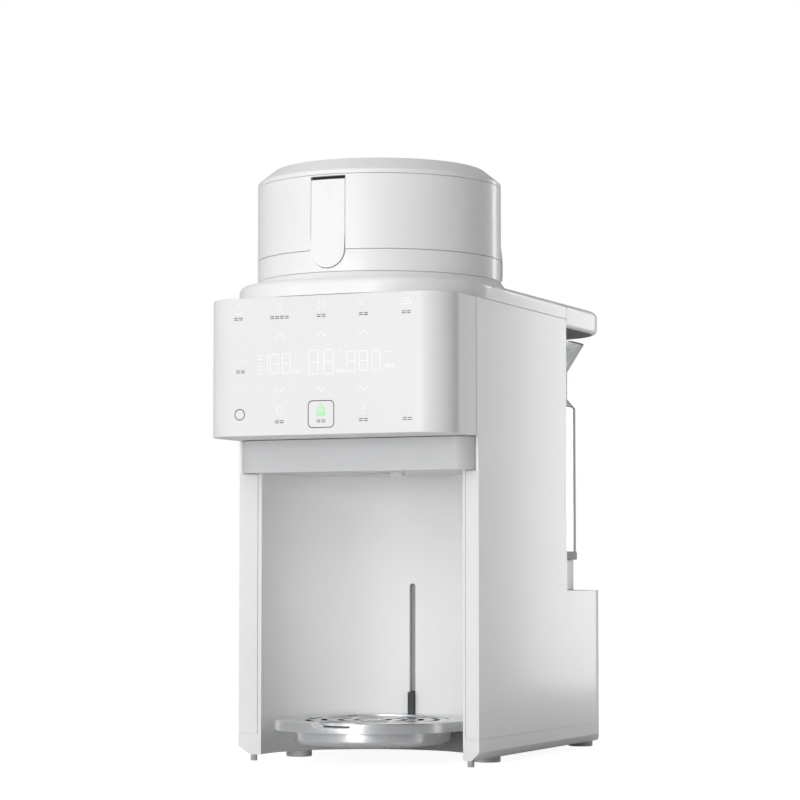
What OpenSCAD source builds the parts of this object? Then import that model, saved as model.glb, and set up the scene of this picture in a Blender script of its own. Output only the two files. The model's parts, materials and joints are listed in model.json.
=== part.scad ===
// Baby formula maker: a countertop machine that doses powder and warm water into a bottle.
// Heights are above the counter. Plan places inside the modules are measured from the
// hopper's upright axis, +Y towards the rear, and in_frame() moves them to the row's origin,
// which is the middle of the width and depth at counter level.

/* [Body] */
// Width across the two side walls
body_w = 195; // [190:1:205]
// Thickness of the moulded housing walls
wall = 2.5; // [2:0.1:3]
// Clearance between parts that rest on each other
rest_gap = 0.3; // [0.2:0.05:0.5]
// Outer edge of the legs, in front of the hopper axis
leg_front = 41; // [38:1:44]
// Inner edge of the legs, in front of the hopper axis
leg_inner = 34; // [30:1:37]
// Length of the rear base behind the side walls
rear_base_l = 115; // [111:1:116]
// Depth of the works between the bay's wall and the tank's niche
works_l = 22; // [21:0.5:26]
// Corner radius of the base at the rear
base_corner = 52; // [40:1:58]

/* [Heights] */
// Height of the feet
foot_h = 4.5; // [3:0.5:6]
// Height of the base frame's rim above its underside
base_h = 15.5; // [14:0.5:18]
// Height of the bay's ceiling above the body's underside
bay_h = 210.5; // [200:0.5:220]
// Height of the band above the bay
brow_h = 24; // [20:0.5:28]
// Height of the control visor
visor_h = 101; // [98:1:112]
// Thickness of the top deck at its rim
deck_h = 12.5; // [11:0.5:15]
// Rise of the hopper's seat above the deck
seat_rise = 4.5; // [3.5:0.5:6]
// Height of the rear base above the body's underside
rear_base_h = 122; // [114:1:126]

/* [Bottle bay] */
// From the bay's round wall to the side of the body
bay_side = 14.5; // [13.5:0.1:15]
// Axis of the bay, in front of the hopper axis
bay_y = 21; // [20:0.5:21]
// Width of the height slot in the bay's back wall
slot_w = 5; // [4.5:0.1:6]

/* [Tray] */
// How much smaller than the bay the round tray is, on a radius
tray_gap = 10; // [9.5:0.5:13]
// Axis of the tray, in front of the hopper axis
tray_y = 12; // [12:0.5:14]
// Underside of the tray's rim above the counter, at its lowest
tray_low = 24.5; // [24:0.5:30]
// Height of the tray's rim
tray_h = 7.5; // [6.5:0.5:9]
// How far the tray can be raised
tray_travel = 80; // [60:1:80]
// Width of the tray's rim, from its edge to the grate's recess
rim_w = 16; // [13:0.5:21]
// Thickness of the grate
grate_t = 2; // [1.5:0.1:2.5]
// Depth of the drip pan below the rim
pan_h = 11.5; // [9:0.5:13]
// Thickness of the steel sheet
sheet_t = 1.2; // [1:0.1:1.5]
// Width of the finger notch in the rim
notch_w = 36; // [30:1:40]
// Depth of the finger notch
notch_drop = 3.7; // [3:0.1:4]

/* [Visor and brow] */
// How far the visor's face stands in front of the hopper
visor_reach = 10; // [8:0.5:14]
// Radius of the visor's front corners
visor_corner = 25; // [20:1:30]
// Rear edge of the visor's sides, in front of the hopper axis
visor_back = 45; // [44:0.5:48]
// Front face of the brow, in front of the hopper axis
brow_front = 51; // [50:0.5:54]
// How far the brow's sides lie inside the body's
brow_inset = 1.5; // [1:0.25:2.5]
// Radius of the brow's front corners
brow_corner = 16; // [15:1:20]

/* [Deck] */
// How far the deck's front edge lies behind the visor's face
deck_set_back = 2; // [1:0.5:4]
// Half the width of the deck's straight front edge
deck_flat = 20.5; // [13.5:0.5:27.5]
// Rounding along the top edges of the deck and the tank lid
top_round = 5; // [4:0.5:6]
// Width of the sloped shoulder round the hopper
shoulder_w = 9; // [6:0.5:11]
// Drop of the shoulder from the hopper seat to its foot
shoulder_drop = 12; // [10:0.5:14]

/* [Hopper] */
// From the hopper's side to the side of the body
hopper_side = 5.5; // [3.5:0.5:6.5]
// Height of the hopper ring
ring_h = 16; // [15:0.5:18]
// From the hopper's side to the inside of the powder bowl
bowl_side = 14; // [13.5:0.5:16]
// Height of the powder bowl's floor above the visor's underside
bowl_rise = 31.8; // [29:0.1:36]
// How much narrower the bowl is at its floor, on a radius
bowl_taper = 16; // [14:0.5:17]

/* [Dosing drive] */
// Gap between the rotor's gear and the powder chute
gear_tip_gap = 1.85; // [1.8:0.05:3]
// Teeth on the rotor's gear
gear_teeth = 48; // [44:4:48]
// Teeth on the motor's pinion
pinion_teeth = 16; // [14:1:16]
// Height of the gear teeth
gear_h = 8; // [6:0.5:9]
// Radius of the rotor shaft
shaft_r = 4; // [3:0.25:5]
// Running clearance on a radius
run_gap = 0.05; // [0.02:0.01:0.08]
// Number of dosing pockets
pocket_count = 10; // [8:1:12]
// Radius of each dosing pocket
pocket_r = 8.5; // [7:0.5:9]
// From the pockets' middles to the edge of the bowl's floor
pocket_inset = 11; // [10:0.5:11.5]
// Thickness of the dosing disc
disc_h = 12; // [10:0.5:15]

/* [Lid and latches] */
// Height of the lid's wall
lid_h = 54.8; // [50:0.2:60]
// Height of the lid's crown
crown_h = 16; // [13:0.5:18]
// Number of latches round the lid
latch_count = 3; // [3:1:4]
// Width of a latch
latch_w = 27; // [24:0.5:29]
// Thickness of a latch
latch_t = 2.2; // [1.8:0.1:2.5]
// How far a latch's lower end stands proud
latch_proud = 1.3; // [0.8:0.1:2]
// Reach of a latch below the lid
latch_tail = 13.4; // [12:0.1:14.5]
// Radius of a latch pin
latch_pin_r = 1.5; // [1.2:0.1:1.8]

/* [Water tank] */
// From the side of the tank's body to the side of the machine
tank_side = 20.8; // [19.5:0.1:23.5]
// How much narrower than its body the tank's neck is, on each side
neck_step = 6.7; // [4.7:0.1:10.7]
// From the side of the tank's flared mouth to the side of the machine
mouth_side = 13.5; // [12.5:0.5:17.5]
// Corner radius of the tank's body
tank_corner = 35; // [30:1:38]
// Gap between the tank's mouth and the niche in front of it
tank_front_gap = 1.5; // [1:0.5:2.5]
// Gap between the tank's mouth and the rear edge of the base
tank_rear_gap = 2; // [1:0.5:8]
// Height of the warming pedestal
pedestal_h = 24.5; // [22:0.5:27]
// Height of the dark foot ring
tank_foot_h = 6.7; // [5:0.1:8]
// Gap between the tank's mouth and the tank lid's rim
tank_mouth_gap = 7; // [6:0.5:12]
// Height of the tank's shoulder
tank_shoulder_h = 8; // [6:0.5:9]
// Height of the tank's neck
tank_neck_h = 22; // [18:0.5:24]
// Height of the tank's flared mouth
tank_mouth_h = 23; // [19:0.5:24]
// Thickness of the tank's wall
tank_wall = 3; // [2.5:0.1:3.5]

/* [Tank lid] */
// Height of the tank lid's rim
tank_lid_h = 18.5; // [16:0.5:20]
// Radius of the rolled front edge at the hinge
roll_r = 3.7; // [3.4:0.1:4]
// Rounding of the tank lid's lower edge
low_round = 4; // [3:0.5:6]
// Width of a hinge lug
lug_w = 12; // [10:0.5:14]

/* [Hidden] */

// Overrun of a cut past the face that it opens
over = 1;
// Gap left open as a visible joint between housings
panel_gap = 0.5;
// Facets asked of a round; above 12 they stay true rounds
$fn = 72;

// Levels of the housing
z_seam = foot_h + base_h;
z_ceiling = foot_h + bay_h;
z_brow_top = z_ceiling + brow_h;
z_visor = z_brow_top + panel_gap;
z_visor_top = z_visor + visor_h;
z_deck = z_visor_top + panel_gap;
z_deck_top = z_deck + deck_h;
z_seat = z_deck_top + seat_rise;
z_ring = z_seat + rest_gap;
z_ring_top = z_ring + ring_h;
z_lid = z_ring_top + rest_gap;
z_lid_top = z_lid + lid_h;
z_base_top = foot_h + rear_base_h;

// Radii and places that follow the body's width
half_w = body_w / 2;
inner_w = half_w - wall - rest_gap;
bay_r = half_w - bay_side;
bay_back = bay_r - bay_y;
tray_r = bay_r - tray_gap;
grate_r = tray_r - rim_w;
hopper_r = half_w - hopper_side;
bowl_r = hopper_r - bowl_side;
bowl_floor_r = bowl_r - bowl_taper;
pocket_ring_r = bowl_floor_r - pocket_inset;
tank_half = half_w - tank_side;
neck_half = tank_half - neck_step;
mouth_half = half_w - mouth_side;
niche_y = bay_back + works_l;
tank_y = niche_y + wall + tank_front_gap + mouth_half;
base_back = tank_y + mouth_half + tank_rear_gap;
body_back = base_back - rear_base_l;
visor_front = hopper_r + visor_reach;
axis_y = (visor_front - base_back) / 2;

// Moves a piece from the hopper axis to the row's origin
module in_frame() {
    translate([0, axis_y, 0]) children();
}

// Mirrors a piece to both sides
module both_sides() {
    for (s = [0, 1]) mirror([s, 0, 0]) children();
}

// Bar between two corners
module bar(low, high) {
    translate(low) cube(high - low);
}

// Slab of a plan between two heights
module slab(low, high) {
    translate([0, 0, low]) linear_extrude(high - low) children();
}

// Cylinder along X from x0 to x1
module rod_x(x0, x1, y, z, r) {
    translate([x0, y, z]) rotate([0, 90, 0]) cylinder(h = x1 - x0, r = r);
}

// Cylinder along Y from y0 to y1
module rod_y(x, y0, y1, z, r) {
    translate([x, y1, z]) rotate([90, 0, 0]) cylinder(h = y1 - y0, r = r);
}

// Cylinder along Z from z0 to z1
module rod_z(x, y, z0, z1, r) {
    translate([x, y, z0]) cylinder(h = z1 - z0, r = r);
}

// Quarter bend of a hose in the plane that the caller turns it to
module bend(r_bend, r_tube) {
    rotate_extrude(angle = 90) translate([r_bend, 0]) circle(r_tube);
}

// Section of a slab's edge from its middle outwards, rounded above and below
module edge_section(reach, low, high, round_high, round_low) {
    middle = (low + high) / 2;
    translate([0, low + round_low]) square([reach, high - low - round_low - round_high]);
    translate([0, low]) square([reach - round_low, middle - low]);
    translate([0, middle]) square([reach - round_high, high - middle]);
    translate([reach - round_high, high - round_high]) circle(round_high);
    if (round_low > 0) translate([reach - round_low, low + round_low]) circle(round_low);
}

// Slab with rounded edges: square at its flat end, with two round corners at its far end
module edged_slab(half, corner, flat_y, low, high, round_high, round_low, far_y) {
    mid_y = far_y - corner;
    both_sides() {
        translate([0, mid_y, 0]) rotate([90, 0, 0]) linear_extrude(mid_y - flat_y)
            edge_section(half, low, high, round_high, round_low);
        translate([half - corner, mid_y, 0]) rotate_extrude()
            edge_section(corner, low, high, round_high, round_low);
    }
    translate([corner - half, mid_y, 0]) rotate([90, 0, 90]) linear_extrude(2 * (half - corner))
        edge_section(corner, low, high, round_high, round_low);
}

// Rounded square in plan
module round_square(half, corner) {
    square([2 * half, 2 * (half - corner)], center = true);
    square([2 * (half - corner), 2 * half], center = true);
    for (x = [-1, 1], y = [-1, 1]) translate([x, y] * (half - corner)) circle(corner);
}

// Plan of the whole body with its rear corners, drawn in by an inset
module body_plan(inset) {
    w = half_w - inset;
    r = base_corner - inset;
    front = leg_front - inset;
    translate([-w, -front]) square([2 * w, base_back - base_corner + front]);
    translate([-w + r, 0]) square([2 * (w - r), base_back - inset]);
    for (s = [-1, 1]) translate([s * (w - r), base_back - base_corner]) circle(r);
}

bay_edge_x = sqrt(pow(bay_r, 2) - pow(leg_inner - bay_y, 2));

// Everything in front of the slanted leg faces, moved back by a wall
module front_cut(back) {
    reach = half_w + over;
    far = bay_y + bay_r + wall + over;
    polygon([[-reach, -far], [reach, -far],
        [reach, -leg_front + back], [half_w, -leg_front + back],
        [bay_edge_x, -leg_inner + back], [-bay_edge_x, -leg_inner + back],
        [-half_w, -leg_front + back], [-reach, -leg_front + back]]);
}

// The bay's round plan
module bay_plan(r) {
    translate([0, -bay_y]) circle(r);
}

// Base frame: a tub with a chamfered underside, open where the bay is
base_chamfer_x = 8;
base_chamfer_z = 6.5;
base_floor_t = 2.5;
boss_r = 4.5;
screw_r = 1.5;
screw_head_r = 3.4;
screw_head_h = 1.8;
screw_side_inset = 11.5;
screw_front_inset = 96;
screw_middle_step = 7;
screw_corner_step = 4.5;
screw_rear_inset = 18;
screw_x = half_w - screw_side_inset;
screw_places = [[screw_x, screw_front_inset - leg_front],
    [screw_x, body_back + screw_middle_step],
    [half_w - base_corner + screw_corner_step, base_back - screw_rear_inset]];
pad_r = 9.85;
pad_sink = 0.5;
pad_side_inset = 19.5;
pad_front_inset = 64;
pad_rear_inset = 33;
pad_x = half_w - pad_side_inset;
pad_places = [[pad_x, pad_front_inset - leg_front], [pad_x, base_back - pad_rear_inset]];
peg_r = 2.5;
peg_side_inset = 9.5;
peg_front_inset = 7.5;
peg_place = [half_w - peg_side_inset, peg_front_inset - leg_front];
vent_w = 3;
vent_l = 50;
vent_pitch = 8;
vent_rows = 5;
vent_side_step = 44;
vent_rear_inset = 68;

module chamfered_body(inset, low, high) {
    w = half_w - inset;
    back = base_back - inset;
    intersection() {
        slab(low, high) difference() {
            body_plan(inset);
            front_cut(inset);
        }
        translate([0, base_back + over, 0]) rotate([90, 0, 0])
            linear_extrude(base_back + leg_front + 2 * over)
                polygon([[-w, low + base_chamfer_z], [-w + base_chamfer_x, low],
                    [w - base_chamfer_x, low], [w, low + base_chamfer_z],
                    [w, high], [-w, high]]);
        rotate([90, 0, 90]) translate([0, 0, -half_w - over])
            linear_extrude(body_w + 2 * over)
                polygon([[-leg_front, low], [back - base_chamfer_x, low],
                    [back, low + base_chamfer_z], [back, high], [-leg_front, high]]);
    }
}

module base_frame() {
    floor_top = foot_h + base_floor_t;
    color("whitesmoke") in_frame() difference() {
        union() {
            difference() {
                chamfered_body(0, foot_h, z_seam);
                difference() {
                    chamfered_body(wall, floor_top, z_seam + over);
                    slab(foot_h, z_seam + 2 * over) bay_plan(bay_r + wall);
                }
            }
            both_sides() for (p = screw_places)
                rod_z(p[0], p[1], foot_h + base_floor_t / 2, z_seam, boss_r);
        }
        slab(0, z_seam + over) bay_plan(bay_r);
        both_sides() {
            for (p = screw_places) {
                rod_z(p[0], p[1], 0, z_seam + over, screw_r + run_gap);
                rod_z(p[0], p[1], 0, foot_h + screw_head_h + rest_gap, screw_head_r + rest_gap);
            }
            for (p = pad_places) rod_z(p[0], p[1], 0, foot_h + pad_sink, pad_r + rest_gap);
            rod_z(peg_place[0], peg_place[1], 0, z_seam, peg_r + run_gap);
        }
        for (i = [0 : vent_rows - 1])
            translate([i * vent_pitch - vent_side_step, base_back - vent_rear_inset, 0])
                slab(0, floor_top + over) square([vent_w, vent_l], center = true);
    }
}

module base_screws() {
    color("silver") in_frame() both_sides() for (p = screw_places) {
        rod_z(p[0], p[1], foot_h + rest_gap, foot_h + rest_gap + screw_head_h, screw_head_r);
        rod_z(p[0], p[1], foot_h + screw_head_h, z_seam - rest_gap, screw_r);
    }
}

module foot_pads() {
    color("dimgray") in_frame() both_sides() for (p = pad_places)
        rod_z(p[0], p[1], 0, foot_h + pad_sink, pad_r);
}

module front_pegs() {
    color("dimgray") in_frame() both_sides()
        rod_z(peg_place[0], peg_place[1], 0, foot_h + base_floor_t, peg_r);
}

// Side shells: each is a side wall, its leg face and half of the rear base's wall
ledge_w = 3;
ledge_t = 2;
deck_plate_t = 2.5;
ledge_z = z_base_top - deck_plate_t - rest_gap - ledge_t;
inlet_x = 26;
inlet_z = 46;
inlet_w = 28;
inlet_h = 21;

module shell_plan() {
    difference() {
        body_plan(0);
        difference() {
            body_plan(wall);
            front_cut(wall);
        }
        front_cut(0);
        bay_plan(bay_r + wall + rest_gap);
    }
}

module side_shell(side) {
    top = z_deck - rest_gap;
    joint = rest_gap / 2;
    mirror([side, 0, 0]) {
        slab(z_seam, z_base_top) intersection() {
            shell_plan();
            translate([joint, -leg_front]) square([half_w, base_back + leg_front]);
        }
        slab(z_base_top, z_ceiling - rest_gap) intersection() {
            shell_plan();
            translate([bay_edge_x / 2, -leg_front]) square([half_w, body_back + leg_front]);
        }
        bar([half_w - wall, -leg_front, z_ceiling - rest_gap], [half_w, body_back, z_visor]);
        bar([half_w - wall, -visor_back + panel_gap, z_visor], [half_w, body_back, top]);
        bar([half_w - wall - ledge_w, body_back / 2, ledge_z],
            [half_w - wall, base_back - base_corner, ledge_z + ledge_t]);
    }
}

module left_side_shell() {
    color("white") in_frame() side_shell(1);
}

module right_side_shell() {
    color("white") in_frame() difference() {
        side_shell(0);
        translate([inlet_x - inlet_w / 2 - rest_gap, base_back - wall - over,
            inlet_z - inlet_h / 2 - rest_gap])
            cube([inlet_w + 2 * rest_gap, wall + 2 * over, inlet_h + 2 * rest_gap]);
    }
}

// Carriage that carries the tray through the slot
neck_h = 17.5;
neck_side_gap = 0.3;
neck_w = slot_w - 2 * neck_side_gap;
neck_sink = 0.7;
neck_z = tray_low + tray_h - neck_sink;
slot_z = neck_z - rest_gap;
slot_spare = 1;
slot_top = neck_z + neck_h + tray_travel + slot_w / 2 + slot_spare;

// Bay liner: the round back wall of the bottle bay
module bay_liner() {
    color("gainsboro") in_frame() difference() {
        slab(z_seam, z_ceiling) difference() {
            bay_plan(bay_r + wall);
            bay_plan(bay_r);
            front_cut(0);
        }
        bar([-slot_w / 2, 0, slot_z], [slot_w / 2, bay_back + wall + over, slot_top - slot_w / 2]);
        rod_y(0, 0, bay_back + wall + over, slot_top - slot_w / 2, slot_w / 2);
    }
}

// Plate that closes the rear base and carries the tank's pedestal
module rear_deck_plate() {
    inset = wall + rest_gap;
    color("white") in_frame() difference() {
        slab(z_base_top - deck_plate_t, z_base_top) intersection() {
            body_plan(inset);
            translate([-half_w, niche_y]) square([body_w, base_back - niche_y]);
        }
        rod_z(0, tank_y, 0, z_base_top + over, port_r + rest_gap);
    }
}

// Niche liner: the U-shaped wall between the works and the tank
niche_gap = 4;
niche_side = mouth_half + niche_gap;
niche_flange = 2.5;
module niche_liner() {
    outer = niche_side + wall;
    back = body_back - rest_gap;
    color("whitesmoke") in_frame() slab(z_base_top, z_deck - rest_gap)
        polygon([[-inner_w, back], [-inner_w, back - niche_flange],
            [-outer, back - niche_flange], [-outer, niche_y], [outer, niche_y],
            [outer, back - niche_flange], [inner_w, back - niche_flange], [inner_w, back],
            [niche_side, back], [niche_side, niche_y + wall], [-niche_side, niche_y + wall],
            [-niche_side, back]]);
}

// Warming pedestal under the tank
pedestal_drop = 1.7;
z_pedestal = z_base_top + pedestal_h;
port_r = 9;
port_bore_r = 4;
module heater_pedestal() {
    half = tank_half - pedestal_drop;
    color("lightgray") in_frame() translate([0, tank_y, 0]) difference() {
        union() {
            difference() {
                slab(z_base_top, z_pedestal) round_square(half, tank_corner);
                slab(z_base_top - over, z_pedestal - wall)
                    round_square(half - wall, tank_corner - wall);
            }
            rod_z(0, 0, z_base_top - deck_plate_t, z_pedestal, port_r);
        }
        rod_z(0, 0, 0, z_pedestal + over, port_bore_r);
    }
}

// Brow: the band above the bay with the bay's ceiling
ceiling_t = 2.5;
brow_lap = 1.5;
brow_back = bay_back + wall + brow_lap;
brow_side_h = 6;
nozzle_x = 25;
nozzle_y = -22;
nozzle_r = 5.5;
eye_x = 38;
eye_y = -5;
eye_r = 2.6;
spout_r = 15;

module brow_plan(inset) {
    w = half_w - brow_inset - inset;
    r = brow_corner - inset;
    front = brow_front - inset;
    intersection() {
        union() {
            translate([-w + r, -front]) square([2 * (w - r), front + brow_back - inset]);
            translate([-w, -front + r]) square([2 * w, front - r + brow_back - inset]);
            for (s = [-1, 1]) translate([s * (w - r), -front + r]) circle(r);
        }
        union() {
            translate([-half_w, -visor_front])
                square([body_w, visor_front - leg_front - rest_gap]);
            translate([-inner_w + inset, -visor_front])
                square([2 * (inner_w - inset), visor_front + brow_back]);
        }
    }
}

module brow() {
    color("gainsboro") in_frame() difference() {
        union() {
            slab(z_ceiling, z_ceiling + ceiling_t) brow_plan(0);
            slab(z_ceiling, z_brow_top) intersection() {
                difference() {
                    brow_plan(0);
                    brow_plan(wall);
                }
                translate([-half_w, -visor_front]) square([body_w, visor_front - leg_inner]);
            }
            slab(z_ceiling, z_ceiling + brow_side_h) difference() {
                brow_plan(0);
                brow_plan(wall);
            }
        }
        rod_z(0, -tray_y, z_ceiling - over, z_ceiling + ceiling_t + over, spout_r + rest_gap);
        rod_z(nozzle_x, nozzle_y, z_ceiling - over, z_ceiling + ceiling_t + over,
            nozzle_r + rest_gap);
        rod_z(eye_x, eye_y, z_ceiling - over, z_ceiling + ceiling_t + over, eye_r);
    }
}

// Visor: the control housing across the front
module visor_plan(inset, rear) {
    w = half_w - inset;
    r = visor_corner - inset;
    front = visor_front - inset;
    translate([-w + r, -front]) square([2 * (w - r), front - visor_back + rear]);
    translate([-w, -front + r]) square([2 * w, front - r - visor_back + rear]);
    for (s = [-1, 1]) translate([s * (w - r), -front + r]) circle(r);
}

visor_well_gap = 2;
visor_well_r = bowl_r + wall + visor_well_gap;
module visor_shell() {
    color("white") in_frame() difference() {
        slab(z_visor, z_visor_top) visor_plan(0, 0);
        slab(z_visor + wall, z_visor_top - wall) visor_plan(wall, over);
        slab(z_visor - over, z_visor + wall + over) brow_plan(wall);
        slab(z_visor_top - wall - over, z_visor_top + over) {
            circle(visor_well_r);
            intersection() {
                visor_plan(wall, over);
                translate([-half_w, -visor_back - wall]) square([body_w, 2 * wall]);
            }
        }
    }
}

// Boards behind the panel
board_t = 1.6;
board_end_gap = 2.5;
board_half_w = half_w - visor_corner - board_end_gap;
board_margin = 9;
touch_y = -visor_front + wall + rest_gap;
module touch_board() {
    color("seagreen") in_frame()
        bar([-board_half_w, touch_y, z_visor + board_margin],
            [board_half_w, touch_y + board_t, z_visor_top - board_margin]);
}

display_half_w = 52;
display_h = 26;
display_t = 7;
z_display = z_visor + visor_h / 2;
digit_columns = 7;
digit_w = 9;
digit_t = 1;
module display_module() {
    y = touch_y + board_t + rest_gap;
    pitch = 2 * display_half_w / digit_columns;
    color("dimgray") in_frame() difference() {
        bar([-display_half_w, y, z_display - display_h / 2],
            [display_half_w, y + display_t, z_display + display_h / 2]);
        for (i = [0 : digit_columns - 1])
            translate([-display_half_w + (i + 0.5) * pitch - digit_w / 2, y - over,
                z_display - display_h / 2 + 2 * board_t])
                cube([digit_w, digit_t + over, display_h - 4 * board_t]);
    }
}

// Top deck with the hopper's seat
hinge_y = body_back - panel_gap + rest_gap + roll_r;
hinge_z = z_deck_top - roll_r;
deck_back = body_back - panel_gap;
deck_front = visor_front - deck_set_back;
deck_corner = half_w - deck_flat;
shoulder_r = hopper_r + shoulder_w;
lug_inset = 25.5;
lug_x = half_w - lug_inset;
lug_r = roll_r - rest_gap;
well_gap = 0.8;
hinge_pin_r = 1.5;
hinge_pin_l = 24;

module deck_plan(inset) {
    w = half_w - inset;
    r = deck_corner - inset;
    front = deck_front - inset;
    translate([-w + r, -front]) square([2 * (w - r), front + deck_back - inset]);
    translate([-w, -front + r]) square([2 * w, front - r + deck_back - inset]);
    for (s = [-1, 1]) translate([s * (w - r), -front + r]) circle(r);
}

module top_deck() {
    well = bowl_r + wall + well_gap;
    color("white") in_frame() difference() {
        union() {
            mirror([0, 1, 0]) edged_slab(half_w, deck_corner, -deck_back, z_deck, z_deck_top,
                top_round, 0, deck_front);
            intersection() {
                translate([0, 0, z_seat - shoulder_drop])
                    cylinder(h = shoulder_drop, r1 = shoulder_r, r2 = hopper_r + rest_gap);
                slab(z_deck, z_seat + over) deck_plan(0);
            }
            both_sides() {
                rod_x(lug_x - lug_w / 2, lug_x + lug_w / 2, hinge_y, hinge_z, lug_r);
                bar([lug_x - lug_w / 2, deck_back - wall, hinge_z - lug_r],
                    [lug_x + lug_w / 2, hinge_y, hinge_z + lug_r]);
            }
        }
        slab(z_deck - over, z_deck_top - top_round) difference() {
            deck_plan(wall);
            circle(well + wall);
        }
        rod_z(0, 0, z_deck - over, z_seat + over, well);
        both_sides() rod_x(lug_x - lug_w, lug_x + lug_w, hinge_y, hinge_z,
            hinge_pin_r + run_gap / 2);
    }
}

// Powder chute from the bowl's outlet to the bay's ceiling
chute_margin = 3.3;
chute_r = pocket_r + chute_margin;
chute_wall = 2;
z_bowl_floor = z_visor + bowl_rise;
bowl_floor_t = 3;
z_bowl_under = z_bowl_floor - bowl_floor_t;
gear_gap = 0.6;
z_gear = z_bowl_under - gear_gap - gear_h;
chute_knee_drop = 1.4;
z_chute_knee = z_gear - chute_knee_drop;
chute_end_rise = 1.5;
z_chute_end = z_ceiling + ceiling_t + chute_end_rise;
spout_drop = 0.8;
module powder_chute() {
    layer = chute_wall / 2;
    color("lightgray") in_frame() difference() {
        union() {
            rod_z(0, -pocket_ring_r, z_chute_knee, z_bowl_under - rest_gap, chute_r);
            hull() {
                rod_z(0, -pocket_ring_r, z_chute_knee - layer, z_chute_knee, chute_r, $fn = 32);
                rod_z(0, -tray_y, z_chute_end, z_chute_end + layer, spout_r, $fn = 32);
            }
            rod_z(0, -tray_y, z_ceiling - spout_drop, z_chute_end + layer, spout_r);
        }
        rod_z(0, -pocket_ring_r, z_chute_knee - over, z_bowl_under + over, chute_r - chute_wall);
        hull() {
            rod_z(0, -pocket_ring_r, z_chute_knee - layer, z_chute_knee, chute_r - chute_wall,
                $fn = 32);
            rod_z(0, -tray_y, z_chute_end, z_chute_end + layer, spout_r - chute_wall, $fn = 32);
        }
        rod_z(0, -tray_y, z_ceiling - spout_drop - over, z_chute_end + layer,
            spout_r - chute_wall);
    }
}

// Water path: nozzle, heater, pump and hoses
hose_r = 4;
hose_wall = 1.4;
hose_bend = 9;
nozzle_drop = 3.5;
nozzle_bore_r = 3;
nozzle_collar_h = 1;
nozzle_step = 0.8;
nozzle_lip = 2;
nozzle_cap_t = 2;
port_l = 6;
hose_rise = 12.5;
z_hose = z_ceiling + ceiling_t + hose_rise;
riser_gap = 4;
riser_y = niche_y - hose_r - riser_gap;
heater_x = nozzle_x;
heater_r = 16;
heater_rise = 55.5;
heater_z = foot_h + heater_rise;
heater_set_back = 12;
heater_y0 = niche_y + heater_set_back;
heater_y1 = tank_y;
fin_count = 9;
fin_t = 1.6;
fin_rise = 3;

module water_nozzle() {
    plate = z_ceiling + ceiling_t;
    top = z_hose + hose_r + nozzle_cap_t;
    color("lightgray") in_frame() translate([nozzle_x, nozzle_y, 0]) difference() {
        union() {
            rod_z(0, 0, z_ceiling - nozzle_drop, plate + nozzle_collar_h, nozzle_r);
            rod_z(0, 0, z_ceiling, top, nozzle_r - nozzle_step);
            rod_z(0, 0, plate + rest_gap, plate + nozzle_lip, nozzle_r + nozzle_lip);
            rod_y(0, 0, nozzle_r + port_l, z_hose, hose_r - hose_wall - run_gap);
        }
        rod_z(0, 0, z_ceiling - nozzle_drop - over, top - nozzle_cap_t, nozzle_bore_r);
        rod_y(0, 0, nozzle_r + port_l + over, z_hose, hose_r - 2 * hose_wall);
    }
}

module hose_skin(x, y0, y1, z) {
    difference() {
        rod_y(x, y0, y1, z, hose_r);
        rod_y(x, y0 - over, y1 + over, z, hose_r - hose_wall);
    }
}

module nozzle_hose() {
    x = heater_x;
    y0 = nozzle_y + nozzle_r + rest_gap;
    color("lightgray") in_frame() {
        hose_skin(x, y0, riser_y - hose_bend, z_hose);
        translate([x, riser_y - hose_bend, z_hose - hose_bend]) rotate([0, 0, 90])
            rotate([90, 0, 0]) bend(hose_bend, hose_r);
        rod_z(x, riser_y, heater_z + hose_bend, z_hose - hose_bend, hose_r);
        translate([x, riser_y + hose_bend, heater_z + hose_bend]) rotate([0, 0, 270])
            rotate([-90, 0, 0]) bend(hose_bend, hose_r);
        hose_skin(x, riser_y + hose_bend, heater_y0 - rest_gap, heater_z);
    }
}

module flow_heater() {
    pitch = (heater_y1 - heater_y0) / (fin_count + 1);
    port = hose_r - hose_wall - run_gap;
    color("silver") in_frame() {
        rod_y(heater_x, heater_y0, heater_y1, heater_z, heater_r);
        for (i = [1 : fin_count])
            rod_y(heater_x, heater_y0 + i * pitch - fin_t / 2, heater_y0 + i * pitch + fin_t / 2,
                heater_z, heater_r + fin_rise);
        rod_y(heater_x, heater_y0 - port_l, heater_y1 + port_l, heater_z, port);
    }
}

saddle_t = 4;
saddle_w = 30;
module heater_saddles() {
    pitch = (heater_y1 - heater_y0) / (fin_count + 1);
    color("dimgray") in_frame() for (i = [1, fin_count - 1]) {
        y = heater_y0 + (i + 0.5) * pitch - saddle_t / 2;
        difference() {
            bar([heater_x - saddle_w / 2, y, foot_h + base_floor_t],
                [heater_x + saddle_w / 2, y + saddle_t, heater_z - heater_r / 2]);
            rod_y(heater_x, y - over, y + saddle_t + over, heater_z, heater_r + rest_gap);
        }
    }
}

pump_head_r = 22;
pump_body_r = 17;
pump_side_gap = 18.5;
pump_x0 = pump_side_gap - half_w;
pump_x1 = -16;
pump_head_l = 18;
pump_rise = 62;
pump_z = foot_h + pump_rise;
port_offset = 9;
pump_y = tank_y + port_offset;
inlet_port_z = pump_z + port_offset;
outlet_port_y = pump_y + port_offset;
outlet_port_z = heater_z;
module pump() {
    port = hose_r - hose_wall - run_gap;
    color("dimgray") in_frame() {
        rod_x(pump_x1 - pump_head_l, pump_x1, pump_y, pump_z, pump_head_r);
        rod_x(pump_x0, pump_x1 - pump_head_l, pump_y, pump_z, pump_body_r);
        rod_x(pump_x1, pump_x1 + port_l, tank_y, inlet_port_z, port);
        rod_x(pump_x1, pump_x1 + port_l, outlet_port_y, outlet_port_z, port);
    }
}

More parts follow.
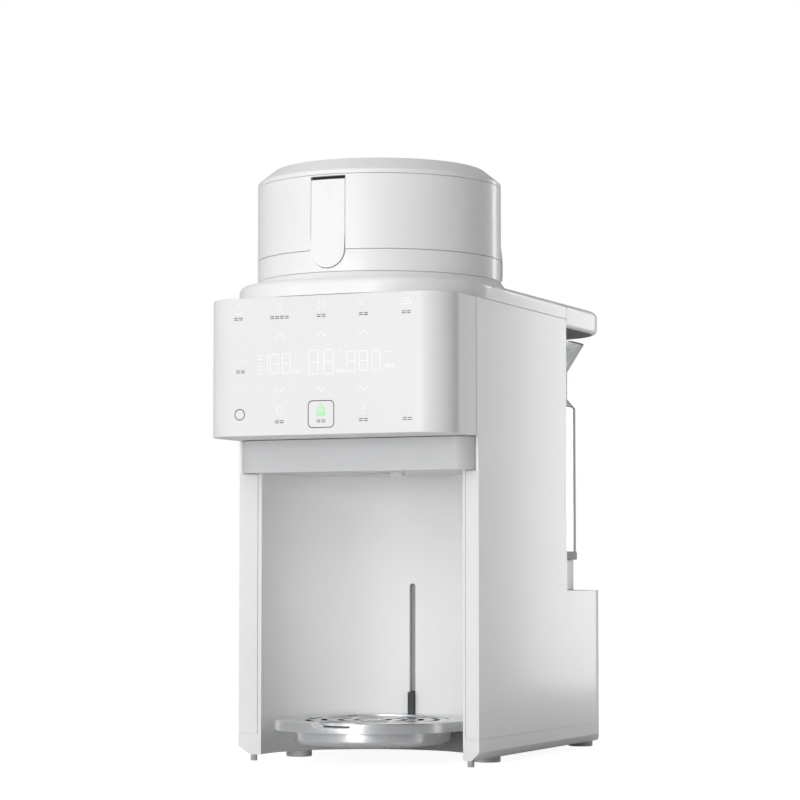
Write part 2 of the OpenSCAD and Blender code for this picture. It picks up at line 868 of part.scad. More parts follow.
cradle_margin = 10;
module pump_cradle() {
    color("darkgray") in_frame() difference() {
        bar([pump_x0 + cradle_margin, pump_y - pump_body_r, foot_h + base_floor_t],
            [pump_x1 - pump_head_l - cradle_margin, pump_y + pump_body_r,
                pump_z - pump_body_r / 2]);
        rod_x(pump_x0, pump_x1 - pump_head_l, pump_y, pump_z, pump_body_r + rest_gap);
        bar([pump_x0, pump_y - pump_body_r / 2, foot_h],
            [pump_x1, pump_y + pump_body_r / 2, pump_z - pump_body_r - 2 * wall]);
    }
}

module suction_hose() {
    color("lightgray") in_frame() {
        rod_z(0, tank_y, inlet_port_z + hose_bend, z_base_top - deck_plate_t - rest_gap, hose_r);
        translate([-hose_bend, tank_y, inlet_port_z + hose_bend]) rotate([-90, 0, 0])
            bend(hose_bend, hose_r);
        difference() {
            rod_x(pump_x1 + rest_gap, -hose_bend, tank_y, inlet_port_z, hose_r);
            rod_x(pump_x1, 0, tank_y, inlet_port_z, hose_r - hose_wall);
        }
    }
}

module transfer_hose() {
    arc = outlet_port_y - heater_y1 - port_l;
    color("lightgray") in_frame() {
        difference() {
            rod_x(pump_x1 + rest_gap, heater_x - arc, outlet_port_y, outlet_port_z, hose_r);
            rod_x(pump_x1, pump_x1 + port_l + rest_gap, outlet_port_y, outlet_port_z,
                hose_r - hose_wall);
        }
        translate([heater_x - arc, outlet_port_y - arc, outlet_port_z]) bend(arc, hose_r);
        difference() {
            rod_y(heater_x, heater_y1 + rest_gap, outlet_port_y - arc, heater_z, hose_r);
            rod_y(heater_x, heater_y1, heater_y1 + port_l + rest_gap, heater_z,
                hose_r - hose_wall);
        }
    }
}

// Motor and the gear that drives the dosing rotor
backlash = 0.15;
tooth_tip_share = 0.9;
tooth_module = (pocket_ring_r - chute_r - gear_tip_gap) / (gear_teeth / 2 + tooth_tip_share);
gear_pitch_r = tooth_module * gear_teeth / 2;
pinion_pitch_r = tooth_module * pinion_teeth / 2;
gear_distance = gear_pitch_r + pinion_pitch_r + backlash;
motor_r = 15;
motor_plate_t = 3;
motor_boss_h = 10.9;
pinion_shaft_r = 3;
bearing_h = 8;
z_motor = z_ceiling + ceiling_t;
motor_h = z_gear - rest_gap - motor_boss_h - motor_plate_t - z_motor;

module drive_motor() {
    top = z_motor + motor_h + motor_plate_t;
    boss_top = z_gear - rest_gap;
    color("silver") in_frame() translate([0, gear_distance, 0]) difference() {
        union() {
            rod_z(0, 0, z_motor, z_motor + motor_h, motor_r);
            slab(z_motor + motor_h, top) round_square(motor_r, wall);
            rod_z(0, 0, top, boss_top, 2 * pinion_shaft_r);
        }
        rod_z(0, 0, boss_top - bearing_h, boss_top + over, pinion_shaft_r + run_gap);
    }
}

// Points of a toothed wheel with involute flanks
flank_steps = 3;
pressure_angle = 20;
tooth_root_share = 1.25;
function roll(r, base) = sqrt(max(pow(r / base, 2) - 1, 0));
function flank_turn(r, base) = roll(r, base) * 180 / PI - atan(roll(r, base));
function polar(r, a) = [r * cos(a), r * sin(a)];
function gear_points(teeth) = let (
        pitch = tooth_module * teeth / 2,
        base = pitch * cos(pressure_angle),
        root = pitch - tooth_root_share * tooth_module,
        tip = pitch + tooth_tip_share * tooth_module,
        low = max(base, root),
        half = 90 / teeth + flank_turn(pitch, base))
    [for (i = [0 : teeth - 1]) let (mid = 360 * i / teeth)
        each concat(
            [polar(root, mid - half)],
            [for (k = [0 : flank_steps]) let (r = low + (tip - low) * k / flank_steps)
                polar(r, mid - half + flank_turn(r, base))],
            [for (k = [flank_steps : -1 : 0]) let (r = low + (tip - low) * k / flank_steps)
                polar(r, mid + half - flank_turn(r, base))],
            [polar(root, mid + half)])];

// The pinion stands behind the gear, turned so that a gap faces the gear's tooth
module drive_pinion() {
    mesh_turn = 180 / pinion_teeth;
    color("gold") in_frame() translate([0, gear_distance, 0]) {
        rotate([0, 0, 270 + mesh_turn]) slab(z_gear, z_gear + gear_h)
            polygon(gear_points(pinion_teeth));
        rod_z(0, 0, z_gear - bearing_h, z_gear, pinion_shaft_r);
    }
}

// Electronics in the rear base
board_side_gap = 12;
board_front_gap = 11;
board_l = 66;
board_w = 48;
standoff_h = 8;
standoff_r = 2.5;
z_board = foot_h + base_floor_t + standoff_h;
standoff_inset = 5;
// Tallest part on the board, and each part's place, length, width and height as shares
tall_part_h = 22;
board_part_shares = [[0.15, 0.1, 0.36, 0.38, 0.82], [0.61, 0.1, 0.24, 0.29, 0.55],
    [0.15, 0.58, 0.21, 0.29, 1], [0.45, 0.54, 0.39, 0.25, 0.41]];
module control_board() {
    top = z_board + board_t;
    color("seagreen") in_frame()
        translate([board_side_gap - half_w, niche_y + board_front_gap, 0]) {
        bar([0, 0, z_board], [board_l, board_w, top]);
        for (b = board_part_shares)
            bar([b[0] * board_l, b[1] * board_w, top], [(b[0] + b[2]) * board_l,
                (b[1] + b[3]) * board_w, top + b[4] * tall_part_h]);
        for (x = [standoff_inset, board_l - standoff_inset],
            y = [standoff_inset, board_w - standoff_inset])
            rod_z(x, y, foot_h + base_floor_t, z_board, standoff_r);
    }
}

inlet_depth = 22;
inlet_wall = 2.5;
inlet_floor = 4;
pin_w = 2;
pin_h = 4;
pin_l = 12;
pin_x = 4.5;
module power_inlet() {
    back = base_back - rest_gap;
    color("black") in_frame() translate([inlet_x, back, inlet_z]) {
        difference() {
            bar([-inlet_w / 2, -inlet_depth, -inlet_h / 2], [inlet_w / 2, 0, inlet_h / 2]);
            bar([-inlet_w / 2 + inlet_wall, -inlet_depth + inlet_floor, -inlet_h / 2 + inlet_wall],
                [inlet_w / 2 - inlet_wall, over, inlet_h / 2 - inlet_wall]);
        }
        for (x = [-pin_x, pin_x])
            bar([x - pin_w / 2, -inlet_depth + inlet_floor / 2, -pin_h / 2],
                [x + pin_w / 2, -inlet_depth + inlet_floor + pin_l, pin_h / 2]);
    }
}

// Rods that guide the tray's carriage
guide_rod_r = 3;
guide_rod_x = 11;
guide_rod_step = 9.5;
guide_rod_y = bay_back + wall + guide_rod_step;
block_half = 18;
block_front_gap = 2;
block_front = bay_back + wall + block_front_gap;
block_back_step = 6;
block_back = guide_rod_y + block_back_step;
block_drop = 1.3;
block_low = neck_z - block_drop;
block_rise = 26;
block_high = neck_z + block_rise;
rod_spare = 12;
rod_top = block_high + tray_travel + rod_spare;
bracket_h = 6;
module tray_rods() {
    color("silver") in_frame() both_sides()
        rod_z(guide_rod_x, guide_rod_y, foot_h + base_floor_t, rod_top, guide_rod_r);
}

shield_t = 1.2;
shield_margin = 3.5;
shield_half = slot_w / 2 + shield_margin;

module rod_bracket() {
    color("darkgray") in_frame() difference() {
        slab(rod_top - bracket_h, rod_top) difference() {
            translate([-block_half, block_front - wall])
                square([2 * block_half, block_back - block_front + wall]);
            bay_plan(bay_r + wall + rest_gap);
            translate([-shield_half - rest_gap, 0])
                square([2 * (shield_half + rest_gap), block_front + rest_gap]);
        }
        both_sides() rod_z(guide_rod_x, guide_rod_y, rod_top - bracket_h - over,
            rod_top + over, guide_rod_r + run_gap);
    }
}

carriage_foot_half = 8;
carriage_foot_gap = 1.3;
carriage_foot_t = 3.7;
carriage_foot_inset = 1;
module tray_carriage() {
    rim = tray_r - tray_y;
    low = tray_low - rest_gap - carriage_foot_t;
    color("dimgray") in_frame() difference() {
        union() {
            bar([-block_half, block_front, block_low], [block_half, block_back, block_high]);
            bar([-neck_w / 2, rim - drop_t, neck_z], [neck_w / 2, block_front + over,
                neck_z + neck_h]);
            bar([-neck_w / 2, rim - drop_t, low], [neck_w / 2, rim - rest_gap, neck_z + neck_h]);
            bar([-carriage_foot_half, grate_r + well_wall + carriage_foot_gap - tray_y, low],
                [carriage_foot_half, rim - carriage_foot_inset, tray_low - rest_gap]);
        }
        both_sides() rod_z(guide_rod_x, guide_rod_y, block_low - over, block_high + over,
            guide_rod_r + run_gap);
    }
}

// Shield on the carriage's front that closes the slot above the neck
shield_lap = 8;
shield_spare = 1.5;
module slot_shield() {
    top = min(slot_top + slot_spare, z_ceiling - tray_travel - shield_spare);
    color("white") in_frame()
        bar([-shield_half, block_front - shield_t, block_high - shield_lap],
            [shield_half, block_front, top]);
}

// Tray: steel rim with a recessed grate over a drip pan
drop_t = 3.5;
z_tray_top = tray_low + tray_h;
well_wall = 1.5;
grate_ledge = 5;
grate_sink = 0.8;
z_ledge = z_tray_top - grate_sink - grate_t - rest_gap;
notch_slope = 5;
z_notch = z_tray_top - notch_drop;
pan_round = 5;

// Section of the finger notch, grown by a sheet's thickness for its trough
module notch_form(grow) {
    top = notch_w / 2 + grow;
    rotate([90, 0, 0]) linear_extrude(tray_r + over)
        polygon([[-top, z_tray_top + over], [-top, z_tray_top], [notch_slope - top, z_notch - grow],
            [top - notch_slope, z_notch - grow], [top, z_tray_top], [top, z_tray_top + over]]);
}

module tray_plate() {
    color("silver") in_frame() translate([0, -tray_y, 0]) difference() {
        union() {
            rotate_extrude() polygon([[grate_r - grate_ledge, z_ledge - well_wall],
                [grate_r, z_ledge - well_wall], [grate_r, tray_low],
                [grate_r + well_wall, tray_low], [grate_r + well_wall, z_tray_top - well_wall],
                [tray_r - well_wall, z_tray_top - well_wall], [tray_r - well_wall, tray_low],
                [tray_r, tray_low], [tray_r, z_tray_top - sheet_t / 2],
                [tray_r - sheet_t / 2, z_tray_top], [grate_r, z_tray_top], [grate_r, z_ledge],
                [grate_r - grate_ledge, z_ledge]]);
            intersection() {
                slab(tray_low, z_tray_top - well_wall / 2) difference() {
                    circle(tray_r - well_wall / 2);
                    circle(grate_r + well_wall / 2);
                }
                notch_form(well_wall);
            }
        }
        notch_form(0);
        bar([-neck_w / 2 - rest_gap, tray_r - drop_t - 2 * rest_gap, tray_low - over],
            [neck_w / 2 + rest_gap, tray_r + over, z_tray_top + over]);
    }
}

module drip_pan() {
    r = grate_r + well_wall;
    low = tray_low - pan_h;
    inner = r - sheet_t;
    corner = [for (a = [0 : 15 : 90]) [r - pan_round + pan_round * sin(a),
        low + pan_round - pan_round * cos(a)]];
    inside = [for (a = [90 : -15 : 0]) [r - pan_round + (pan_round - sheet_t) * sin(a),
        low + pan_round - (pan_round - sheet_t) * cos(a)]];
    color("darkgray") in_frame() translate([0, -tray_y, 0]) rotate_extrude()
        polygon(concat([[0, low]], corner, [[r, tray_low], [inner, tray_low]], inside,
            [[0, low + sheet_t]]));
}

// Rings of curved slots: each ring's radius, and how much of a ring is open
slot_ring_shares = [0.85, 0.64, 0.43, 0.22];
slot_counts = [10, 8, 6, 4];
slot_open_share = 0.7;
slot_w_share = 0.077;
module arc_slot(r, sweep) {
    w = slot_w_share * grate_r;
    rotate([0, 0, -sweep / 2]) rotate_extrude(angle = sweep)
        translate([r - w / 2, 0]) square([w, grate_t + 2 * over]);
    for (a = [-sweep / 2, sweep / 2]) rotate([0, 0, a]) translate([r, 0, 0])
        cylinder(h = grate_t + 2 * over, r = w / 2);
}

module drip_grate() {
    low = z_ledge + rest_gap;
    color("silver") in_frame() translate([0, -tray_y, 0]) difference() {
        rod_z(0, 0, low, low + grate_t, grate_r - rest_gap);
        for (ring = [0 : len(slot_counts) - 1]) let (turn = 360 / slot_counts[ring])
            for (i = [0 : slot_counts[ring] - 1])
                rotate([0, 0, 90 + (i + 0.5) * turn]) translate([0, 0, low - over])
                    arc_slot(slot_ring_shares[ring] * grate_r, slot_open_share * turn);
    }
}

// Hopper: the ring that shows and the powder bowl below it
lip_h = 3.5;
bowl_step = 18;
bowl_cone = 24;
recess_depth = 5;
recess_r = hopper_r - recess_depth;
latch_gap = 0.4;
outlet_margin = 1;
outlet_r = pocket_r + outlet_margin;
groove_step = 1;
ring_groove_r = recess_r - groove_step;

// Upright latch outline with a round lower end
module latch_outline(w, low, high) {
    translate([-w / 2, low + w / 2]) square([w, high - low - w / 2]);
    translate([0, low + w / 2]) circle(w / 2);
}

module round_latches() {
    for (i = [0 : latch_count - 1]) rotate([0, 0, 360 * i / latch_count]) children();
}

module hopper_bowl() {
    outer = bowl_r + wall;
    groove = z_ring_top - 2 * wall;
    color("whitesmoke") in_frame() difference() {
        rotate_extrude() polygon([[0, z_bowl_under], [bowl_floor_r + wall, z_bowl_under],
            [bowl_floor_r + wall, z_bowl_floor + bowl_step],
            [outer, z_bowl_floor + bowl_step + bowl_cone], [outer, groove],
            [ring_groove_r, groove], [ring_groove_r, z_ring], [hopper_r, z_ring],
            [hopper_r, z_ring_top], [outer, z_ring_top], [outer, z_ring_top + lip_h],
            [bowl_r, z_ring_top + lip_h], [bowl_r, z_bowl_floor + bowl_step + bowl_cone],
            [bowl_floor_r, z_bowl_floor + bowl_step], [bowl_floor_r, z_bowl_floor],
            [0, z_bowl_floor]]);
        rod_z(0, 0, z_bowl_under - over, z_bowl_floor + over, shaft_r + run_gap);
        rod_z(0, -pocket_ring_r, z_bowl_under - over, z_bowl_floor + over, outlet_r);
        round_latches() translate([0, -recess_r, 0]) rotate([90, 0, 0])
            linear_extrude(hopper_r - recess_r + over)
                latch_outline(latch_w + 2 * latch_gap, z_lid - latch_tail - latch_gap,
                    z_ring_top + latch_w);
    }
}

scraper_half = 24;
scraper_t = 2;
scraper_w = 26;
scraper_inner = bowl_floor_r - scraper_w;
z_disc_top = z_bowl_floor + rest_gap + disc_h;
module scraper_plate() {
    outer = bowl_floor_r - rest_gap;
    low = z_disc_top + rest_gap;
    color("whitesmoke") in_frame() rotate([0, 0, 270 - scraper_half])
        translate([0, 0, low]) rotate_extrude(angle = 2 * scraper_half)
            translate([scraper_inner, 0]) square([outer - scraper_inner, scraper_t]);
}

// Rotor: shaft, dosing disc, gear and stirrer
shaft_top = 72;
shaft_tail = 2;
washer_drop = 4;
washer_r = 7;
cap_r = 7;
disc_gap = 0.5;
module rotor_shaft() {
    color("silver") in_frame() {
        rod_z(0, 0, z_gear - shaft_tail, z_bowl_floor + shaft_top, shaft_r);
        rod_z(0, 0, z_gear - washer_drop, z_gear - rest_gap, washer_r);
    }
}

module dosing_disc() {
    color("lightskyblue") in_frame() difference() {
        union() {
            rod_z(0, 0, z_bowl_floor + rest_gap, z_disc_top, bowl_floor_r - disc_gap);
            rod_z(0, 0, z_disc_top, z_disc_top + 2 * wall, 2 * cap_r);
        }
        rod_z(0, 0, z_bowl_floor, z_disc_top + 2 * wall + over, shaft_r + run_gap);
        for (i = [0 : pocket_count - 1]) rotate([0, 0, 360 * (i + 0.5) / pocket_count - 90])
            rod_z(pocket_ring_r, 0, z_bowl_floor, z_disc_top + over, pocket_r);
    }
}

gear_windows = 6;
window_place_share = 0.6;
window_r_share = 0.22;
module dosing_gear() {
    color("gold") in_frame() difference() {
        slab(z_gear, z_gear + gear_h) rotate([0, 0, 90]) polygon(gear_points(gear_teeth));
        rod_z(0, 0, z_gear - over, z_gear + gear_h + over, shaft_r + run_gap);
        for (i = [0 : gear_windows - 1]) rotate([0, 0, 360 * i / gear_windows])
            rod_z(window_place_share * gear_pitch_r, 0, z_gear - over,
                z_gear + gear_h + over, window_r_share * gear_pitch_r);
    }
}

arm_r = 2.2;
arm_gap = 10;
low_arm = bowl_floor_r - arm_gap;
high_arm = bowl_r - arm_gap;
low_arm_rise = 9;
high_arm_rise = 45;
high_arm_turn = 30;
tip_h = 14;
module stirrer_arms(reach, z) {
    for (s = [-1, 1]) {
        rod_x(s > 0 ? 0 : -reach, s > 0 ? reach : 0, 0, z, arm_r);
        rod_z(s * reach, 0, z - arm_r, z + tip_h, arm_r);
        translate([s * reach, 0, z + tip_h]) sphere(arm_r);
    }
}

module stirrer() {
    hub_low = z_disc_top + 2 * wall + rest_gap;
    z_low = hub_low + low_arm_rise;
    z_high = hub_low + high_arm_rise;
    color("whitesmoke") in_frame() difference() {
        union() {
            rod_z(0, 0, hub_low, z_bowl_floor + shaft_top, cap_r);
            translate([0, 0, z_bowl_floor + shaft_top]) sphere(cap_r);
            stirrer_arms(low_arm, z_low);
            rotate([0, 0, high_arm_turn]) stirrer_arms(high_arm, z_high);
        }
        rod_z(0, 0, hub_low - over, z_bowl_floor + shaft_top + rest_gap, shaft_r + run_gap);
    }
}

// Lid with its latch pockets
lid_plate_t = 2.5;
pocket_back_inset = 13;
pocket_back_r = hopper_r - pocket_back_inset;
pocket_wall = 2;
pocket_rise = 4.5;
pivot_inset = 6.5;
pivot_r = hopper_r - pivot_inset;
pivot_rise = 27;
z_pivot = z_lid + pivot_rise;
window_half = latch_w / 2 + latch_gap;
ear_x = 6.3;
ear_t = 2.4;
ear_r = 3.6;
window_drop = 1;
z_window_top = z_lid_top - window_drop;
latch_back_y = sqrt(pow(hopper_r - latch_t, 2) - pow(window_half, 2)) - rest_gap;

module lid_shell() {
    inner = hopper_r - wall;
    box_half = window_half + pocket_wall;
    color("white") in_frame() difference() {
        union() {
            difference() {
                rod_z(0, 0, z_lid, z_lid_top, hopper_r);
                rod_z(0, 0, z_lid - over, z_lid_top - lid_plate_t, inner);
            }
            intersection() {
                round_latches() bar([-box_half, -hopper_r, z_lid + pocket_rise],
                    [box_half, -pocket_back_r + pocket_wall, z_lid_top - lid_plate_t / 2]);
                rod_z(0, 0, z_lid, z_lid_top, inner + wall / 2);
            }
        }
        round_latches() {
            bar([-window_half, -hopper_r - over, z_lid + pocket_rise + pocket_wall],
                [window_half, -pocket_back_r, z_lid_top - lid_plate_t]);
            bar([-window_half, -hopper_r - over, z_lid - over],
                [window_half, -latch_back_y + rest_gap, z_window_top]);
            rod_x(-box_half - over, box_half + over, -pivot_r, z_pivot, latch_pin_r + run_gap / 2);
        }
    }
}

crown_rim = 3;
crown_edge = 1;
crown_break_inset = 12;
crown_break_r = hopper_r - crown_break_inset;
crown_break_share = 0.8;
crown_wall = 2.5;
z_crown = z_lid_top + rest_gap;

// Height of the crown's shallow dome at a radius
function dome_rise(r) = crown_h * (1 - (1 - crown_break_share) * pow(r / crown_break_r, 2));

module lid_crown() {
    steps = 8;
    dome = [for (i = [0 : steps]) let (r = crown_break_r * i / steps) [r, z_crown + dome_rise(r)]];
    under = [for (i = [steps : -1 : 0]) let (r = crown_break_r * i / steps)
        [r, z_crown + dome_rise(r) - crown_wall]];
    color("white") in_frame() rotate_extrude()
        polygon(concat(dome, [[hopper_r - crown_edge, z_crown + crown_rim + crown_edge],
            [hopper_r, z_crown + crown_rim], [hopper_r, z_crown],
            [hopper_r - crown_wall, z_crown], [hopper_r - crown_wall, z_crown + crown_rim]],
            under));
}

gasket_h = 3;
module lid_gasket() {
    inner = bowl_r + wall + 2 * rest_gap;
    color("lightgray") in_frame() difference() {
        rod_z(0, 0, z_lid, z_lid + gasket_h, hopper_r - wall - rest_gap);
        rod_z(0, 0, z_lid - over, z_lid + gasket_h + over, inner);
    }
}

module latch_pins() {
    reach = window_half + pocket_wall;
    color("silver") in_frame() round_latches()
        rod_x(-reach, reach, -pivot_r, z_pivot, latch_pin_r);
}

spring_r = 3;
module latch_springs() {
    reach = ear_x - rest_gap;
    color("silver") in_frame() round_latches() difference() {
        rod_x(-reach, reach, -pivot_r, z_pivot, spring_r);
        rod_x(-reach - over, reach + over, -pivot_r, z_pivot, latch_pin_r + rest_gap);
    }
}

// Latch: a rocker that follows the lid's curve and stands proud at its lower end
latch_top_gap = 2.6;
latch_blend = 12;
rib_shares = [0.49, 0.84, 1, 0.68, 0.43];
rib_w = 9.2;
rib_h = 0.6;
rib_pitch = 2.3;
rib_rise = 0.5;
rib_first = 4.5;
nib_h = 3;
nib_half = 6;
module latch(turn) {
    low = z_lid - latch_tail;
    high = z_window_top - latch_top_gap;
    back = hopper_r - latch_t;
    rotate([0, 0, turn]) difference() {
        union() {
            intersection() {
                rotate_extrude() polygon([[back, low], [hopper_r + latch_proud, low],
                    [hopper_r + latch_proud, z_lid], [hopper_r, z_lid + latch_blend],
                    [hopper_r, high], [back, high]]);
                rotate([90, 0, 0]) linear_extrude(2 * hopper_r) latch_outline(latch_w, low, high);
            }
            intersection() {
                for (i = [0 : len(rib_shares) - 1]) let (half = rib_shares[i] * rib_w / 2)
                    translate([0, 0, high - rib_first - i * rib_pitch])
                        bar([-half, -hopper_r - rib_rise, 0], [half, -hopper_r + latch_t / 2, rib_h]);
                rod_z(0, 0, low, high, hopper_r + rib_rise);
            }
            bar([-nib_half, -hopper_r + latch_t / 2, low + latch_w / 4],
                [nib_half, -recess_r - 2 * rest_gap, low + latch_w / 4 + nib_h]);
            both_sides() {
                rod_x(ear_x, ear_x + ear_t, -pivot_r, z_pivot, ear_r);
                bar([ear_x, -hopper_r + latch_t / 2, z_pivot - ear_r],
                    [ear_x + ear_t, -pivot_r, z_pivot + ear_r]);
            }
        }
        rod_x(-latch_w, latch_w, -pivot_r, z_pivot, latch_pin_r + run_gap);
    }
}

module latch_front() {
    color("whitesmoke") in_frame() latch(0);
}

module latch_right() {
    color("whitesmoke") in_frame() latch(360 / latch_count);
}

module latch_left() {
    color("whitesmoke") in_frame() latch(-360 / latch_count);
}

// Tank lid: hinged at the deck's rear edge
z_tank_lid = z_deck_top - tank_lid_h;
lid_skin = 3;
module tank_lid() {
    slot_half = lug_w / 2 + rest_gap;
    color("white") in_frame() difference() {
        union() {
            difference() {
                edged_slab(half_w, base_corner, body_back, z_tank_lid, z_deck_top,
                    top_round, low_round, base_back);
                bar([-half_w - over, 0, z_tank_lid - over],
                    [half_w + over, body_back + rest_gap, z_deck_top + over]);
                bar([-half_w - over, 0, hinge_z], [half_w + over, hinge_y, z_deck_top + over]);
            }
            rod_x(-half_w + top_round / 2, half_w - top_round / 2, hinge_y, hinge_z, roll_r);
        }
        slab(z_tank_lid - over, z_deck_top - lid_skin) difference() {
            body_plan(lid_skin + low_round / 4);
            translate([-half_w, -visor_front])
                square([body_w, visor_front + hinge_y + roll_r]);
        }
        both_sides() {
            bar([lug_x - slot_half, hinge_y - 2 * roll_r, hinge_z - 2 * roll_r],
                [lug_x + slot_half, hinge_y + roll_r + rest_gap, z_deck_top + over]);
            rod_x(lug_x - hinge_pin_l / 2 - rest_gap, lug_x + hinge_pin_l / 2 + rest_gap,
                hinge_y, hinge_z, hinge_pin_r + run_gap);
        }
    }
}

plug_corner = 24;
plug_drop = 4.5;
plug_flange = 2;
plug_flange_h = 4;
plug_front = hinge_y + roll_r + rest_gap;
plug_rear = base_back - lid_skin - low_round / 4 - rest_gap;
plug_y = (plug_front + plug_rear) / 2;
plug_half = (plug_rear - plug_front) / 2 - plug_flange;
module tank_lid_plug() {
    low = z_tank_lid - plug_drop;
    color("dimgray") in_frame() translate([0, plug_y, 0]) difference() {
        union() {
            slab(low, z_deck_top - lid_skin - rest_gap) round_square(plug_half, plug_corner);
            slab(z_tank_lid - plug_flange_h / 2, z_tank_lid + plug_flange_h / 2)
                round_square(plug_half + plug_flange, plug_corner + plug_flange);
        }
        slab(low - over, z_deck_top - lid_skin + over)
            round_square(plug_half - wall, plug_corner - wall);
    }
}

module tank_hinge_pins() {
    color("silver") in_frame() both_sides()
        rod_x(lug_x - hinge_pin_l / 2, lug_x + hinge_pin_l / 2, hinge_y, hinge_z, hinge_pin_r);
}

// Water tank: a clear jug with a neck and a flared mouth
z_tank_foot = z_pedestal + rest_gap;
z_jug = z_tank_foot + tank_foot_h;
z_mouth = z_tank_lid - tank_mouth_gap;
z_flare = z_mouth - tank_mouth_h;
z_neck = z_flare - tank_neck_h;
z_shoulder = z_neck - tank_shoulder_h;
valve_r = 12;

// Half widths and heights of the jug's outline, from a height up past the mouth
function jug_outline(inset, low, past) = concat(
    [for (p = [[tank_half, low], [tank_half, z_shoulder], [neck_half, z_neck],
        [neck_half, z_flare], [mouth_half, z_mouth]]) [p[0] - inset, p[1]]],
    past > 0 ? [[mouth_half - inset, z_mouth + past]] : []);

// The outline along four flat sides and round four corners
module jug_form(inset, low, past) {
    run = tank_half - tank_corner;
    right = jug_outline(inset, low, past);
    left = [for (i = [len(right) - 1 : -1 : 0]) [-right[i][0], right[i][1]]];
    section = concat([[0, low]], [for (p = right) [p[0] - run, p[1]]], [[0, z_mouth + past]]);
    for (turn = [0, 90]) rotate([90, 0, turn]) translate([0, 0, -run])
        linear_extrude(2 * run) polygon(concat(right, left));
    for (x = [-run, run], y = [-run, run]) translate([x, y, 0])
        rotate_extrude() polygon(section);
}

module tank_jug() {
    color("aliceblue", 0.4) in_frame() translate([0, tank_y, 0]) difference() {
        jug_form(0, z_jug, 0);
        jug_form(tank_wall, z_jug + tank_wall, over);
        rod_z(0, 0, z_jug - over, z_jug + tank_wall + over, valve_r + run_gap);
    }
}

foot_ring_proud = 0.8;
foot_ring_w = 6;
module tank_foot_ring() {
    half = tank_half + foot_ring_proud;
    color("dimgray") in_frame() translate([0, tank_y, 0])
        slab(z_tank_foot, z_jug) difference() {
            round_square(half, tank_corner + foot_ring_proud);
            round_square(half - foot_ring_w, tank_corner + foot_ring_proud - foot_ring_w);
        }
}

valve_stem_r = 5;
valve_rise = 9;
module tank_valve() {
    color("lightgray") in_frame() translate([0, tank_y, 0]) difference() {
        union() {
            rod_z(0, 0, z_tank_foot + rest_gap, z_jug + tank_wall, valve_r);
            rod_z(0, 0, z_jug + tank_wall, z_jug + tank_wall + valve_rise, valve_stem_r);
        }
        rod_z(0, 0, z_tank_foot, z_jug + tank_wall + valve_rise - wall, port_bore_r / 2);
    }
}

guide_w = 10;
guide_t = 6;
guide_h = 82;
module float_guide() {
    x = tank_half - tank_wall - rest_gap - guide_t;
    color("lightgray") in_frame() translate([x, tank_y - guide_w / 2, 0]) difference() {
        bar([0, 0, z_jug + tank_wall], [guide_t, guide_w, z_jug + tank_wall + guide_h]);
        bar([-over, wall, z_jug + tank_wall + 2 * wall],
            [guide_t - wall, guide_w - wall, z_jug + tank_wall + guide_h - 2 * wall]);
    }
}

base_frame();
base_screws();
foot_pads();
front_pegs();
left_side_shell();
right_side_shell();
bay_liner();
rear_deck_plate();
niche_liner();
heater_pedestal();
brow();
visor_shell();
touch_board();
display_module();
top_deck();
powder_chute();
water_nozzle();
nozzle_hose();
drive_motor();
drive_pinion();
flow_heater();
heater_saddles();
pump();
pump_cradle();
suction_hose();
transfer_hose();
control_board();
power_inlet();
tray_rods();
rod_bracket();
tray_carriage();
slot_shield();
drip_pan();
tray_plate();
drip_grate();
hopper_bowl();
scraper_plate();
rotor_shaft();
dosing_disc();
dosing_gear();
stirrer();
lid_shell();
lid_crown();
lid_gasket();
latch_pins();
latch_springs();
latch_front();
latch_right();
latch_left();
tank_lid();
tank_lid_plug();
tank_hinge_pins();
tank_jug();
tank_foot_ring();
tank_valve();
float_guide();
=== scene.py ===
import json
import math

import bpy
from bpy.props import FloatProperty, FloatVectorProperty, IntProperty, PointerProperty
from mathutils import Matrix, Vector


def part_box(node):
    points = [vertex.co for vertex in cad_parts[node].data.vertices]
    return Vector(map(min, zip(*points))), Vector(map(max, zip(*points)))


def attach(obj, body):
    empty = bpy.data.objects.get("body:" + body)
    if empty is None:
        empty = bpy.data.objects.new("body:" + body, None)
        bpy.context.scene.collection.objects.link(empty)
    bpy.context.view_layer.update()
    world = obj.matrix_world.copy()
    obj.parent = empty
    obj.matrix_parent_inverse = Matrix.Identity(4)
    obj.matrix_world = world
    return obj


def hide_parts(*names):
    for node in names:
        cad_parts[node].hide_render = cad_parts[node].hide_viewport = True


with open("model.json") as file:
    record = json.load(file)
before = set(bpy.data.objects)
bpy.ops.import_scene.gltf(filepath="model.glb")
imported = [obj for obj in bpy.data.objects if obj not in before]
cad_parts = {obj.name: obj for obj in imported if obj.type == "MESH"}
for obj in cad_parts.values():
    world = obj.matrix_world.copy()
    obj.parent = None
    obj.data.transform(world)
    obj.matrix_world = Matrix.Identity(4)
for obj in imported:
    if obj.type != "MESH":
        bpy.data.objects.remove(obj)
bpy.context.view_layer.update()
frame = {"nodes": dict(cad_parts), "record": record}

bl_info = {
    "name": "Formula Maker Finish",
    "version": (1, 0, 0),
    "blender": (4, 5, 0),
    "location": "3D View > Sidebar > Formula Maker",
    "description": "Soft edges, printed panel, steel tray, glass tank and studio for a formula maker",
    "category": "Object",
}

